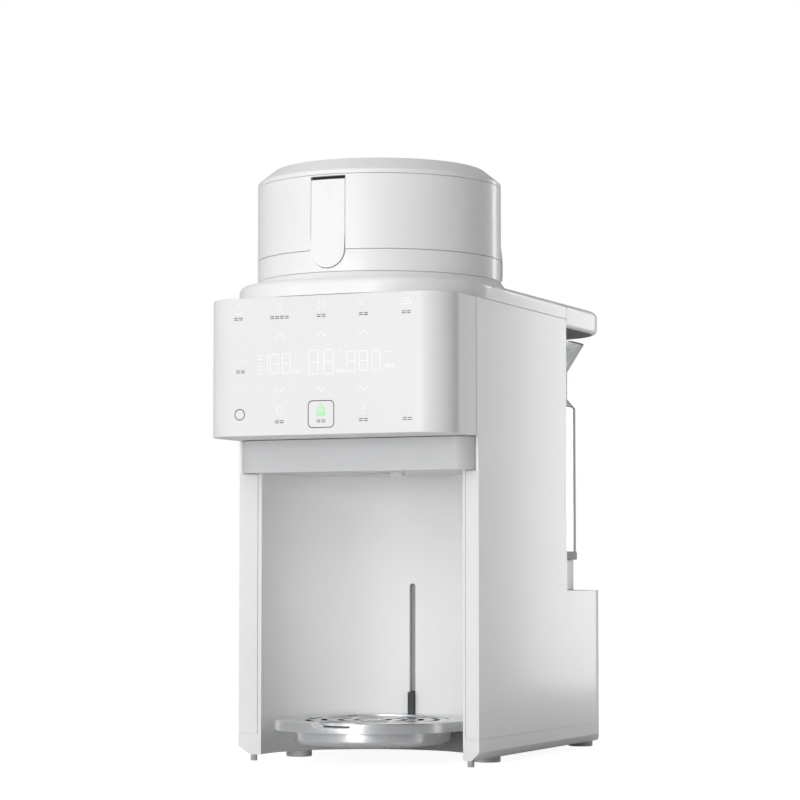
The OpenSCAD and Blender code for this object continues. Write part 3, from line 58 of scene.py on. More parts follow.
MM = 0.001
NODE_BODY = {n: b for b, members in frame["record"]["behaviour"]["bodies"].items() for n in members}
NODE_SLOT = {s["node"]: s["material_slot"] for s in frame["record"]["subparts"]}
VISOR_LOW, VISOR_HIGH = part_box("visor_shell")
TRAY_LOW, TRAY_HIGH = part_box("tray_plate")
TRAY_MIDDLE = (TRAY_LOW + TRAY_HIGH) / 2
GRATE_LOW, GRATE_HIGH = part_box("drip_grate")
GRATE_RADIUS = (GRATE_HIGH.x - GRATE_LOW.x) / 2
LID_LOW, LID_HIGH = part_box("lid_shell")
LID_AXIS = (LID_LOW + LID_HIGH) / 2
LATCH_LOW, LATCH_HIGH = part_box("latch_front")
LATCH_COUNT = sum(body.endswith("_latch") for body in NODE_BODY.values())

# Nodes whose moulded or pressed edges are rounded in the scene, and the width of each edge in mm
SOFT_EDGES = {
    "base_frame": 0.5, "left_side_shell": 0.5, "right_side_shell": 0.5, "bay_liner": 0.3,
    "rear_deck_plate": 0.5, "niche_liner": 0.5, "heater_pedestal": 0.8, "brow": 0.6,
    "visor_shell": 0.7, "top_deck": 0.4, "hopper_bowl": 0.5, "lid_shell": 0.4,
    "lid_crown": 0.4, "latch_front": 0.3, "latch_right": 0.3, "latch_left": 0.3,
    "tank_lid": 0.3, "tank_lid_plug": 0.6, "tank_foot_ring": 0.8, "foot_pads": 0.8,
    "front_pegs": 0.5, "tray_plate": 0.45, "drip_grate": 0.3, "drip_pan": 0.7,
    "slot_shield": 0.3, "tray_carriage": 0.3, "water_nozzle": 0.4, "tank_valve": 0.4,
    "float_guide": 0.4, "power_inlet": 0.4,
}

# Edges sharper than this are rounded, flats closer than this are one, and points this near are joined
EDGE_ANGLE = math.radians(32)
FLAT_ANGLE = math.radians(0.5)
WELD_GAP = 0.01 * MM

# Rows of the panel in mm above the counter
ICON_ROW = 333.4
WORD_ROW = 325.4
UP_ROW = 312.0
DIGIT_ROW = 291.8
DOWN_ROW = 272.3
LOW_ICON_ROW = 256.8
LOW_WORD_ROW = 249.4
# Distance between the two rows of dashes that stand for a word
DASH_GAP = 1.35

# Each lamp's place, the point that it faces, and its width and height, in metres
LAMPS = {
    "key": ((-1.1, -2.25, 0.9), (0, 0, 0.2), (1.3, 1.3)),
    "top": ((0.2, -2.2, 1.6), (0, 0, 0.15), (1.0, 1.0)),
    "low": ((0, -2.1, 0.2), (0, 0, 0.12), (0.8, 0.8)),
    "rim": ((0.45, 1.15, 0.35), (0.1, 0.05, 0.25), (0.2, 1.1)),
}
FLOOR_SIZE = 60
# How bright the floor looks by itself, and that look's share beside the shadow on it
FLOOR_GLOW = 1.24
FLOOR_LIFT = 0.75
# How much brighter the surround is overhead than at eye level
OVERHEAD = 1.7

# Most values of a noise lie between these two
NOISE_SPAN = {"From Min": 0.3, "From Max": 0.7}

# The finish of each material slot and of each node that has its own, filled by the first step
FINISHES = {}


# Small helpers for colours and nodes


def linear(colour):
    """Turns an sRGB hex value into a linear colour. A colour from the settings is linear already."""
    if not isinstance(colour, str):
        return tuple(colour)
    parts = [int(colour[i:i + 2], 16) / 255 for i in (1, 3, 5)]
    curve = [p / 12.92 if p <= 0.04045 else ((p + 0.055) / 1.055) ** 2.4 for p in parts]
    return (*curve, 1.0)


def scale_of(width_mm):
    """The scale of a pattern whose features are about this many millimetres wide."""
    return 1 / (width_mm * MM)


def add_node(tree, kind, links=None, values=None, **settings):
    """Adds a node with its settings, its own socket values and its links."""
    node = tree.nodes.new(kind)
    for key, value in settings.items():
        setattr(node, key, value)
    for key, value in (values or {}).items():
        node.inputs[key].default_value = value
    for key, socket in (links or {}).items():
        tree.links.new(socket, node.inputs[key])
    return node


def new_material(name):
    """An empty material, its nodes, and the piece's own coordinates that its patterns read."""
    material = bpy.data.materials.new(name)
    material.use_nodes = True
    tree = material.node_tree
    tree.nodes.clear()
    where = add_node(tree, "ShaderNodeTexCoord")
    return material, tree, where.outputs["Object"]


def finish(tree, values, colour=None, gloss=None, relief=None, links=None):
    """Ends a material with its shader, and returns that shader.

    The values are the same all over the piece. Colour is a pattern and the two close colours that
    it runs between, gloss a pattern with the least and the most roughness, and relief a pattern
    with its depth in mm and its strength.
    """
    links = dict(links or {})
    if colour:
        pattern, first, second = colour
        share = add_node(tree, "ShaderNodeMapRange", {"Value": pattern.outputs["Fac"]}, NOISE_SPAN)
        hue = add_node(tree, "ShaderNodeMix", {0: share.outputs["Result"]},
                       {6: linear(first), 7: linear(second)}, data_type="RGBA")
        links["Base Color"] = hue.outputs[2]
    if gloss:
        pattern, low, high = gloss
        level = add_node(tree, "ShaderNodeMapRange", {"Value": pattern.outputs["Fac"]},
                         {**NOISE_SPAN, "To Min": low, "To Max": high})
        links["Roughness"] = level.outputs["Result"]
    if relief:
        pattern, depth_mm, strength = relief
        dents = add_node(tree, "ShaderNodeBump", {"Height": pattern.outputs["Fac"]},
                         {"Strength": strength, "Distance": depth_mm * MM})
        links["Normal"] = dents.outputs["Normal"]
    shader = add_node(tree, "ShaderNodeBsdfPrincipled", links, values)
    add_node(tree, "ShaderNodeOutputMaterial", {"Surface": shader.outputs["BSDF"]})
    return shader


def from_tray_axis(tree, place):
    """Distance from the tray's upright axis, as a vector that patterns can read."""
    moved = add_node(tree, "ShaderNodeMapping", {"Vector": place},
                     {"Location": (-TRAY_MIDDLE.x, -TRAY_MIDDLE.y, 0.0), "Scale": (1.0, 1.0, 0.0)})
    length = add_node(tree, "ShaderNodeVectorMath", {0: moved.outputs["Vector"]},
                      operation="LENGTH")
    packed = add_node(tree, "ShaderNodeCombineXYZ", {"X": length.outputs["Value"]})
    return packed.outputs["Vector"]


# Materials, each named for what the real one is; some colours set below carry painted shade or shadow


def moulded_abs(name, light, shade, rough=0.36, grain_mm=0.9, coat=0.25):
    """White ABS from a lightly eroded mould: a satin sheen and a grain that only glancing light shows."""
    material, tree, place = new_material(name)
    mottle = add_node(tree, "ShaderNodeTexNoise", {"Vector": place}, {"Scale": scale_of(60)})
    # The real grain is about 0.1 mm and would not show, so it is drawn coarser and very shallow
    grain = add_node(tree, "ShaderNodeTexNoise", {"Vector": place},
                     {"Scale": scale_of(grain_mm), "Detail": 4.0, "Roughness": 0.6})
    finish(tree, {"IOR": 1.53, "Subsurface Weight": 0.04, "Subsurface Scale": 1.2 * MM,
                  "Coat Weight": coat, "Coat Roughness": 0.12, "Coat IOR": 1.45},
           colour=(mottle, light, shade), gloss=(grain, rough - 0.03, rough + 0.04),
           relief=(grain, 0.012, 0.35))
    return material


def lacquered_panel(light, shade):
    """Lacquered white panel over ABS: flat and even, a little smoother and whiter than the shells."""
    material, tree, place = new_material("lacquered_panel")
    mottle = add_node(tree, "ShaderNodeTexNoise", {"Vector": place}, {"Scale": scale_of(80)})
    film = add_node(tree, "ShaderNodeTexNoise", {"Vector": place},
                    {"Scale": scale_of(12), "Detail": 1.0})
    finish(tree, {"IOR": 1.5, "Coat Weight": 0.12, "Coat Roughness": 0.2, "Coat IOR": 1.5},
           colour=(mottle, light, shade), gloss=(film, 0.38, 0.41))
    return material


def dull_plastic(name, light, shade, rough=0.55):
    """Unpainted moulded plastic for inner pieces: matt, slightly mottled."""
    material, tree, place = new_material(name)
    mottle = add_node(tree, "ShaderNodeTexNoise", {"Vector": place}, {"Scale": scale_of(25)})
    grain = add_node(tree, "ShaderNodeTexNoise", {"Vector": place},
                     {"Scale": scale_of(1.2), "Detail": 4.0, "Roughness": 0.6})
    finish(tree, {"IOR": 1.5}, colour=(mottle, light, shade),
           gloss=(grain, rough - 0.07, rough + 0.07), relief=(grain, 0.02, 0.4))
    return material


def turned_steel(name):
    """Stainless steel brushed in rings round the tray's middle: lines that spread each reflection."""
    material, tree, place = new_material(name)
    # Brush lines are under 0.1 mm on the real sheet and are drawn coarser so that they show
    lines = add_node(tree, "ShaderNodeTexNoise", {"Vector": from_tray_axis(tree, place)},
                     {"Scale": scale_of(0.5), "Detail": 5.0, "Roughness": 0.7})
    smears = add_node(tree, "ShaderNodeTexNoise", {"Vector": place},
                      {"Scale": scale_of(18), "Detail": 3.0})
    brushed = add_node(tree, "ShaderNodeMapRange", {"Value": lines.outputs["Fac"]},
                       {**NOISE_SPAN, "To Max": 0.08})
    smeared = add_node(tree, "ShaderNodeMapRange", {"Value": smears.outputs["Fac"]},
                       {**NOISE_SPAN, "To Min": 0.22, "To Max": 0.27})
    blur = add_node(tree, "ShaderNodeMath",
                    {0: brushed.outputs["Result"], 1: smeared.outputs["Result"]}, operation="ADD")
    finish(tree, {"Metallic": 1.0}, colour=(lines, "#cfd1d4", "#ebecec"),
           relief=(lines, 0.008, 0.5), links={"Roughness": blur.outputs["Value"]})
    return material


def steel_with_painted_slot_shade():
    """Brushed stainless sheet with slots cut by a laser, whose cut walls are painted dark as shade in the
    slots.
    """
    material = turned_steel("laser_cut_stainless")
    tree = material.node_tree
    shader = next(node for node in tree.nodes if node.type == "BSDF_PRINCIPLED")
    sheet = shader.inputs["Base Color"].links[0].from_socket
    where = add_node(tree, "ShaderNodeTexCoord")
    parts = add_node(tree, "ShaderNodeSeparateXYZ", {"Vector": where.outputs["Normal"]})
    flat = add_node(tree, "ShaderNodeMath", {0: parts.outputs["Z"]}, operation="ABSOLUTE")
    wall = add_node(tree, "ShaderNodeMapRange", {"Value": flat.outputs["Value"]},
                    {"From Min": 0.3, "From Max": 0.7, "To Min": 1.0, "To Max": 0.0})
    # The grate's outer wall is turned and stays bright, so the painted shade is kept to the cuts inside
    # it
    ring = add_node(tree, "ShaderNodeSeparateXYZ",
                    {"Vector": from_tray_axis(tree, where.outputs["Object"])})
    inside = add_node(tree, "ShaderNodeMapRange", {"Value": ring.outputs["X"]},
                      {"From Min": GRATE_RADIUS - 3 * MM, "From Max": GRATE_RADIUS - 2 * MM,
                       "To Min": 1.0, "To Max": 0.0})
    cut = add_node(tree, "ShaderNodeMath",
                   {0: wall.outputs["Result"], 1: inside.outputs["Result"]}, operation="MULTIPLY")
    # Near-black on the walls of the cuts is painted shade, as if one looked into the dark slots
    both = add_node(tree, "ShaderNodeMix", {0: cut.outputs["Value"], 6: sheet},
                    {7: linear("#303236")}, data_type="RGBA")
    tree.links.new(both.outputs[2], shader.inputs["Base Color"])
    return material


def plain_metal(name, light, shade, rough, grain_mm=0.8):
    """Machined or plated metal on inner pieces, with a faint mottle from handling."""
    material, tree, place = new_material(name)
    mottle = add_node(tree, "ShaderNodeTexNoise", {"Vector": place},
                      {"Scale": scale_of(9), "Detail": 3.0})
    grain = add_node(tree, "ShaderNodeTexNoise", {"Vector": place},
                     {"Scale": scale_of(grain_mm), "Detail": 4.0})
    finish(tree, {"Metallic": 1.0}, colour=(mottle, light, shade),
           gloss=(grain, rough - 0.05, rough + 0.08), relief=(grain, 0.01, 0.4))
    return material


def soft_rubber(name, light, shade, rough=0.7):
    """Moulded silicone or rubber: dull, faintly dusty."""
    material, tree, place = new_material(name)
    dust = add_node(tree, "ShaderNodeTexNoise", {"Vector": place},
                    {"Scale": scale_of(5), "Detail": 4.0})
    grain = add_node(tree, "ShaderNodeTexNoise", {"Vector": place},
                     {"Scale": scale_of(0.7), "Detail": 3.0})
    finish(tree, {"IOR": 1.45, "Sheen Weight": 0.15}, colour=(dust, light, shade),
           gloss=(dust, rough - 0.08, rough + 0.08), relief=(grain, 0.02, 0.4))
    return material


def borosilicate_glass():
    """Pressed borosilicate glass: clear, with slow waves in its wall and a cool tint in the edge."""
    material, tree, place = new_material("borosilicate_glass")
    waves = add_node(tree, "ShaderNodeTexNoise", {"Vector": place},
                     {"Scale": scale_of(45), "Detail": 1.0})
    film = add_node(tree, "ShaderNodeTexNoise", {"Vector": place},
                    {"Scale": scale_of(14), "Detail": 4.0})
    finish(tree, {"Base Color": linear("#f4f7f7"), "Transmission Weight": 1.0, "IOR": 1.47},
           gloss=(film, 0.015, 0.05), relief=(waves, 0.3, 0.15))
    return material


def circuit_board():
    """Fibreglass board under green solder mask, with a weave that shows through faintly."""
    material, tree, place = new_material("circuit_board")
    mottle = add_node(tree, "ShaderNodeTexNoise", {"Vector": place},
                      {"Scale": scale_of(6), "Detail": 3.0})
    weave = add_node(tree, "ShaderNodeTexChecker", {"Vector": place}, {"Scale": scale_of(1.5)})
    finish(tree, {"IOR": 1.52, "Coat Weight": 0.3}, colour=(mottle, "#17603c", "#1d7147"),
           gloss=(mottle, 0.3, 0.42), relief=(weave, 0.01, 0.3))
    return material


def printed_ink(name, colour, thin, glow=0.0):
    """Screen-printed ink, or a window lit from behind, with the faint unevenness of a print."""
    material, tree, place = new_material(name)
    grain = add_node(tree, "ShaderNodeTexNoise", {"Vector": place},
                     {"Scale": scale_of(0.5), "Detail": 3.0})
    values = {"IOR": 1.5}
    if glow:
        values.update({"Emission Color": linear(colour), "Emission Strength": glow})
    finish(tree, values, colour=(grain, colour, thin), gloss=(grain, 0.32, 0.42))
    return material


def pale_floor():
    """Matt white studio sweep, lifted to a white background with a faint shadow left on it."""
    material, tree, place = new_material("pale_floor")
    mottle = add_node(tree, "ShaderNodeTexNoise", {"Vector": place}, {"Scale": scale_of(400)})
    shader = finish(tree, {"IOR": 1.3}, colour=(mottle, "#eeeeee", "#f1f1f1"),
                    gloss=(mottle, 0.75, 0.85))
    white = add_node(tree, "ShaderNodeEmission", None,
                     {"Color": (1.0, 1.0, 1.0, 1.0), "Strength": FLOOR_GLOW})
    seen = add_node(tree, "ShaderNodeLightPath")
    lift = add_node(tree, "ShaderNodeMath", {0: seen.outputs["Is Camera Ray"]}, {1: FLOOR_LIFT},
                    operation="MULTIPLY")
    both = add_node(tree, "ShaderNodeMixShader", {"Fac": lift.outputs["Value"],
                                                 1: shader.outputs["BSDF"],
                                                 2: white.outputs["Emission"]})
    tree.links.new(both.outputs["Shader"], tree.get_output_node("ALL").inputs["Surface"])
    return material


def own_materials(colours):
    """Finishes of single nodes that differ a little from the rest of their slot; the brow, the grate and
    the shield behind the tray's slot carry painted shade.
    """
    return {
        "bay_liner": moulded_abs("matt_white_abs", colours.shell, colours.shell_shade, 0.5, coat=0.0),
        # The brow's greyer white is painted shade: the visor's shadow laid into its colour
        "brow": moulded_abs("shaded_white_abs", "#dadbdc", "#d7d8d9", 0.42, coat=0.1),
        "heater_pedestal": moulded_abs("pale_grey_abs", "#f0f1f1", "#edeeee", 0.45, coat=0.1),
        "tank_foot_ring": dull_plastic("mid_grey_nylon", "#8f9296", "#888b8f", 0.5),
        "foot_pads": soft_rubber("pale_rubber", "#d6d8da", "#cccfd2"),
        "drip_grate": steel_with_painted_slot_shade(),
        # The shield's grey is painted shade: it darkens the inside of the tray's slot
        "slot_shield": dull_plastic("grey_abs_shield", "#a4a6a9", "#9c9ea2"),
    }


def slot_materials(colours):
    """One finish for each of the record's material slots."""
    return {
        "housing_white": moulded_abs("satin_white_abs", colours.shell, colours.shell_shade),
        "panel_white": lacquered_panel(colours.panel, colours.panel_shade),
        "inner_grey": dull_plastic("grey_abs", "#cfd1d3", "#c6c8cb"),
        "food_plastic": moulded_abs("polypropylene", "#eaebec", "#e5e7e9", 0.42, 1.1),
        "disc_blue": dull_plastic("blue_acetal", "#9cc6e6", "#93bfe2", 0.4),
        "gear_acetal": dull_plastic("cream_acetal", "#e6dab8", "#ddd0aa", 0.42),
        "dark_plastic": dull_plastic("dark_glass_filled_nylon", "#3b3e42", "#323539", 0.5),
        "black_plastic": dull_plastic("black_nylon", "#141415", "#1b1b1d", 0.5),
        "polished_steel": turned_steel("brushed_stainless"),
        "plain_steel": plain_metal("ground_steel", "#c4c5c8", "#b2b4b8", 0.3),
        "motor_can": plain_metal("zinc_plated_steel", "#b9bcc2", "#a4a8b0", 0.38, 2.0),
        "heater_alloy": plain_metal("cast_aluminium", "#c9cbce", "#b5b8bc", 0.5, 1.6),
        "board_green": circuit_board(),
        "foot_rubber": soft_rubber("grey_rubber", "#b2b4b7", "#a6a8ab"),
        "silicone": soft_rubber("clear_silicone", "#d9dcdf", "#cfd3d7", 0.45),
        "tank_clear": borosilicate_glass(),
    }


# Modelling helpers


def deselect():
    """Leaves edit mode and deselects everything."""
    if bpy.context.mode != "OBJECT":
        bpy.ops.object.mode_set(mode="OBJECT")
    bpy.ops.object.select_all(action="DESELECT")


def make_active(obj):
    """Selects one object alone."""
    deselect()
    obj.select_set(True)
    bpy.context.view_layer.objects.active = obj


def bake_place(obj):
    """Moves an object's place into its mesh, so that it sits at the origin."""
    make_active(obj)
    bpy.ops.object.transform_apply(location=True, rotation=True, scale=True)


def name_piece(obj, name):
    """Names an object and its mesh alike."""
    obj.name = name
    obj.data.name = name


def dress(obj, body, material):
    """Gives a piece its finish and the body that it moves with."""
    obj.data.materials.clear()
    obj.data.materials.append(material)
    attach(obj, body)


def merged_copy(node):
    """A copy of a CAD node's mesh with its loose triangles joined up and its flats made whole."""
    source = frame["nodes"][node]
    copy = bpy.data.objects.new(node + "_skin", source.data.copy())
    bpy.context.scene.collection.objects.link(copy)
    make_active(copy)
    bpy.ops.object.mode_set(mode="EDIT")
    bpy.ops.mesh.customdata_custom_splitnormals_clear()
    bpy.ops.mesh.select_all(action="SELECT")
    bpy.ops.mesh.remove_doubles(threshold=WELD_GAP)
    bpy.ops.mesh.dissolve_limited(angle_limit=FLAT_ANGLE)
    bpy.ops.object.mode_set(mode="OBJECT")
    return copy


def soften(obj, width, segments):
    """Rounds the sharp edges of a piece and shades it smooth."""
    make_active(obj)
    rounding = obj.modifiers.new("rounding", "BEVEL")
    rounding.width = width
    rounding.segments = segments
    rounding.limit_method = "ANGLE"
    rounding.angle_limit = EDGE_ANGLE
    rounding.use_clamp_overlap = True
    bpy.ops.object.modifier_apply(modifier=rounding.name)
    bpy.ops.object.shade_smooth_by_angle(angle=EDGE_ANGLE)
    flats = obj.modifiers.new("flats", "WEIGHTED_NORMAL")
    flats.keep_sharp = True
    bpy.ops.object.modifier_apply(modifier=flats.name)


def draw_back(skin, depth):
    """Draws the panel's face back by the thickness of the print, from its rear edge."""
    make_active(skin)
    share = 1 - depth / (VISOR_HIGH.y - VISOR_LOW.y)
    bpy.ops.transform.resize(value=(1, share, 1), center_override=(0, VISOR_HIGH.y, 0))
    bake_place(skin)


# Colours and sizes that a user would change


def colour_setting(name, description, hex_colour):
    """A colour with its picker in the sidebar."""
    return FloatVectorProperty(name=name, description=description, default=linear(hex_colour),
                               size=4, min=0.0, max=1.0, subtype="COLOR")


class ColourSettings(bpy.types.PropertyGroup):
    """Colours of the shells, the panel and its print, each with the close one that mottles it."""
    shell: colour_setting("Shell", "White of the shells and the bay", "#f7f7f6")
    shell_shade: colour_setting("Shell shade", "The same in its darker patches", "#f5f5f5")
    panel: colour_setting("Panel", "White of the control panel", "#efefef")
    panel_shade: colour_setting("Panel shade", "The same in its darker patches", "#ededee")
    ink: colour_setting("Ink", "Dark print of the keys", "#1d1e21")
    thin_ink: colour_setting("Thin ink", "The same where the print is thin", "#27282c")
    bottle: colour_setting("Bottle", "Lit bottle of the middle key", "#8fe08a")
    thin_bottle: colour_setting("Thin bottle", "The same where the print is thin", "#86d881")


class EdgeSettings(bpy.types.PropertyGroup):
    """Rounding of the housing's edges."""
    scale: FloatProperty(name="Edge scale", description="Share of each edge's own width",
                         default=1.0, min=0.1, max=1.5, subtype="FACTOR")
    segments: IntProperty(name="Edge segments", description="Faces across a rounded edge",
                          default=2, min=1, max=4)


class PanelSettings(bpy.types.PropertyGroup):
    """Printed and lit marks of the control panel."""
    column: FloatProperty(name="Column pitch", description="Distance between two columns of keys",
                          default=33.5 * MM, unit="LENGTH", precision=4)
    stroke: FloatProperty(name="Stroke", description="Width of a printed line",
                          default=0.45 * MM, unit="LENGTH", precision=5)
    proud: FloatProperty(name="Print thickness", description="How far a mark stands on the panel",
                         default=0.06 * MM, unit="LENGTH", precision=5)
    digit_high: FloatProperty(name="Digit height", description="Height of the middle digits",
                              default=17.5 * MM, unit="LENGTH", precision=4)
    digit_low: FloatProperty(name="Side digit height", description="Height of the outer digits",
                             default=14 * MM, unit="LENGTH", precision=4)


class LatchSettings(bpy.types.PropertyGroup):
    """Black strip above each latch, a painted shadow of the gap over it."""
    window_drop: FloatProperty(name="Window drop", description="From the lid wall's top to the window",
                               default=1.1 * MM, unit="LENGTH", precision=5)
    # A latch's top edge rises 0.7 mm as it rocks, so the strip starts higher than that
    clearance: FloatProperty(name="Clearance", description="Gap between a latch and its strip",
                             default=0.9 * MM, unit="LENGTH", precision=5)
    depth: FloatProperty(name="Depth", description="From the lid's curve to the strip's front",
                         default=3.2 * MM, unit="LENGTH", precision=5)
    thickness: FloatProperty(name="Thickness", description="Thickness of the rubber",
                             default=0.4 * MM, unit="LENGTH", precision=5)


class StageSettings(bpy.types.PropertyGroup):
    """Studio, light and camera."""
    key: FloatProperty(name="Key light", description="Strength of the large light on the left",
                       default=7.6, unit="POWER")
    top: FloatProperty(name="High light", description="Strength of the high light in front",
                       default=8.0, unit="POWER")
    low: FloatProperty(name="Low light", description="Strength of the low light into the bay",
                       default=12.0, unit="POWER")
    rim: FloatProperty(name="Rear light", description="Strength of the tall light at the right rear",
                       default=3.6, unit="POWER")
    sky: FloatProperty(name="Surround", description="Brightness of the white surround",
                       default=0.42, min=0.0, max=3.0)
    lens: FloatProperty(name="Lens", description="Focal length on a 36 mm wide sensor in mm",
                        default=118.0, min=20.0, max=300.0)
    place: FloatVectorProperty(name="Camera place", description="Where the camera stands",
                               default=(0.8154, -1.8779, 0.1383), subtype="TRANSLATION")
    look: FloatVectorProperty(name="Camera direction", description="Where the camera looks",
                              default=(-0.4046, 0.9121, 0.0668), subtype="DIRECTION")


# Drawing on the panel: every mark is a chain of thin bars, in mm across and above the counter


class Pen:
    """Draws thin bars into one mesh, from the panel's face to the front of the CAD box."""

    def __init__(self, name, settings):
        self.name = name
        self.front = VISOR_LOW.y
        self.depth = settings.proud
        self.width = settings.stroke
        self.piece = None

    def bar(self, start, end, width=None):
        """A bar between two points of the panel."""
        width = self.width if width is None else width * MM
        x0, z0, x1, z1 = (v * MM for v in (*start, *end))
        length = math.hypot(x1 - x0, z1 - z0) + 0.6 * width
        bpy.ops.mesh.primitive_cube_add(
            size=1, location=((x0 + x1) / 2, self.front + self.depth / 2, (z0 + z1) / 2),
            rotation=(0, -math.atan2(z1 - z0, x1 - x0), 0), scale=(length, self.depth, width))
        if self.piece is None:
            self.piece = bpy.context.object
            bake_place(self.piece)
            bpy.ops.object.mode_set(mode="EDIT")

    def line(self, points, width=None, closed=False):
        """Bars along a chain of points."""
        chain = [*points, points[0]] if closed else points
        for start, end in zip(chain, chain[1:]):
            self.bar(start, end, width)

    def arc(self, middle, radius, start=0, end=360, steps=16, width=None):
        """Bars along part of a circle, with angles in degrees from +X upwards."""
        turns = [math.radians(start + (end - start) * i / steps) for i in range(steps + 1)]
        self.line([(middle[0] + radius * math.cos(a), middle[1] + radius * math.sin(a))
                   for a in turns], width)

    def rounded(self, low, high, radius, width=None):
        """A rectangle with round corners."""
        (x0, z0), (x1, z1) = low, high
        corners = [((x1 - radius, z1 - radius), 0), ((x0 + radius, z1 - radius), 90),
                   ((x0 + radius, z0 + radius), 180), ((x1 - radius, z0 + radius), 270)]
        points = [(c[0] + radius * math.cos(math.radians(a + step)),
                   c[1] + radius * math.sin(math.radians(a + step)))
                  for c, a in corners for step in (0, 22.5, 45, 67.5, 90)]
        self.line(points, width, closed=True)

    def drop(self, middle, size):
        """A drop of water, point up."""
        x, z = middle
        r = 0.3 * size
        self.arc((x, z - 0.2 * size), r, 150, 390, 12)
        self.line([(x - 0.87 * r, z - 0.05 * size), (x, z + 0.5 * size),
                   (x + 0.87 * r, z - 0.05 * size)])

    def digit(self, middle, size, width, segments="abcdefg"):
        """A seven-segment digit with a gap at each joint."""
        x, z = middle
        half, tall, gap = size[0] / 2, size[1] / 2, width
        ends = {"a": ((-half + gap, tall), (half - gap, tall)),
                "d": ((-half + gap, -tall), (half - gap, -tall)),
                "g": ((-half + gap, 0), (half - gap, 0)),
                "b": ((half, gap), (half, tall - gap)), "c": ((half, -tall + gap), (half, -gap)),
                "f": ((-half, gap), (-half, tall - gap)), "e": ((-half, -tall + gap), (-half, -gap))}
        for name in segments:
            start, end = ends[name]
            self.bar((x + start[0], z + start[1]), (x + end[0], z + end[1]), width)

    def dashes(self, middle, count, pitch=3.9, length=2.7, width=0.55, rows=2):
        """Rows of short dashes in place of a word."""
        x, z = middle
        for row in range(rows):
            level = z + (row - (rows - 1) / 2) * DASH_GAP
            for i in range(count):
                at = x + (i - (count - 1) / 2) * pitch
                self.bar((at - length / 2, level), (at + length / 2, level), width)

    def done(self, body, material):
        """Leaves edit mode and dresses the piece."""
        make_active(self.piece)
        bpy.ops.object.shade_flat()
        name_piece(self.piece, self.name)
        dress(self.piece, body, material)


# The shells and every other CAD node


class FORMULA_OT_finishes(bpy.types.Operator):
    """Gives each node of the frame its finish"""
    bl_idname = "formula.finishes"
    bl_label = "Finishes"

    def execute(self, context):
        colours = context.scene.formula_colours
        FINISHES.update(slot_materials(colours))
        for slot, material in FINISHES.items():
            for node, obj in frame["nodes"].items():
                if NODE_SLOT[node] == slot:
                    obj.data.materials.clear()
                    obj.data.materials.append(material)
        FINISHES.update(own_materials(colours))
        return {"FINISHED"}


class FORMULA_OT_soft_edges(bpy.types.Operator):
    """Replaces the moulded and pressed nodes by skins with rounded edges"""
    bl_idname = "formula.soft_edges"
    bl_label = "Soft edges"

    def execute(self, context):
        settings = context.scene.formula_edges
        for node, width in SOFT_EDGES.items():
            skin = merged_copy(node)
            if node == "visor_shell":
                draw_back(skin, context.scene.formula_panel.proud)
            soften(skin, width * MM * settings.scale, settings.segments)
            slot = NODE_SLOT[node]
            dress(skin, NODE_BODY[node], FINISHES.get(node, FINISHES[slot]))
            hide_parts(node)
        return {"FINISHED"}


class FORMULA_OT_latch_shadow_strips(bpy.types.Operator):
    """Lines the gap above each latch with a black strip, a painted shadow of that gap"""
    bl_idname = "formula.latch_strips"
    bl_label = "Latch strips"

    def execute(self, context):
        # Near-black rubber finish on the strips: painted shadow standing for the dark gap above each
        # latch
        rubber = soft_rubber("black_rubber", "#101012", "#17171a", 0.6)
        strips = [self.front_strip(context.scene.formula_latches)]
        while len(strips) < LATCH_COUNT:
            make_active(strips[0])
            bpy.ops.object.duplicate()
            strips.append(bpy.context.object)
        for i, strip in enumerate(strips):
            make_active(strip)
            bpy.ops.object.mode_set(mode="EDIT")
            bpy.ops.mesh.select_all(action="SELECT")
            bpy.ops.transform.rotate(value=-2 * math.pi * i / LATCH_COUNT, orient_axis="Z",
                                     center_override=(0, LID_AXIS.y, 0))
            bpy.ops.object.mode_set(mode="OBJECT")
            name_piece(strip, f"latch_strip_{i + 1}")
            dress(strip, NODE_BODY["lid_shell"], rubber)
        return {"FINISHED"}

    def front_strip(self, settings):
        """The strip above the front latch, which the others are copies of."""
        radius = (LID_HIGH.x - LID_LOW.x) / 2
        width = LATCH_HIGH.x - LATCH_LOW.x
        low = LATCH_HIGH.z + settings.clearance
        high = LID_HIGH.z - settings.window_drop
        front = LID_AXIS.y - radius + settings.depth
        deselect()
        bpy.ops.mesh.primitive_cube_add(
            size=1, location=(0, front + settings.thickness / 2, (low + high) / 2),
            scale=(width, settings.thickness, high - low))
        strip = bpy.context.object
        bake_place(strip)
        bpy.ops.object.mode_set(mode="EDIT")
        bpy.ops.mesh.bevel(offset=settings.thickness / 4, segments=2, affect="EDGES")
        bpy.ops.object.mode_set(mode="OBJECT")
        return strip


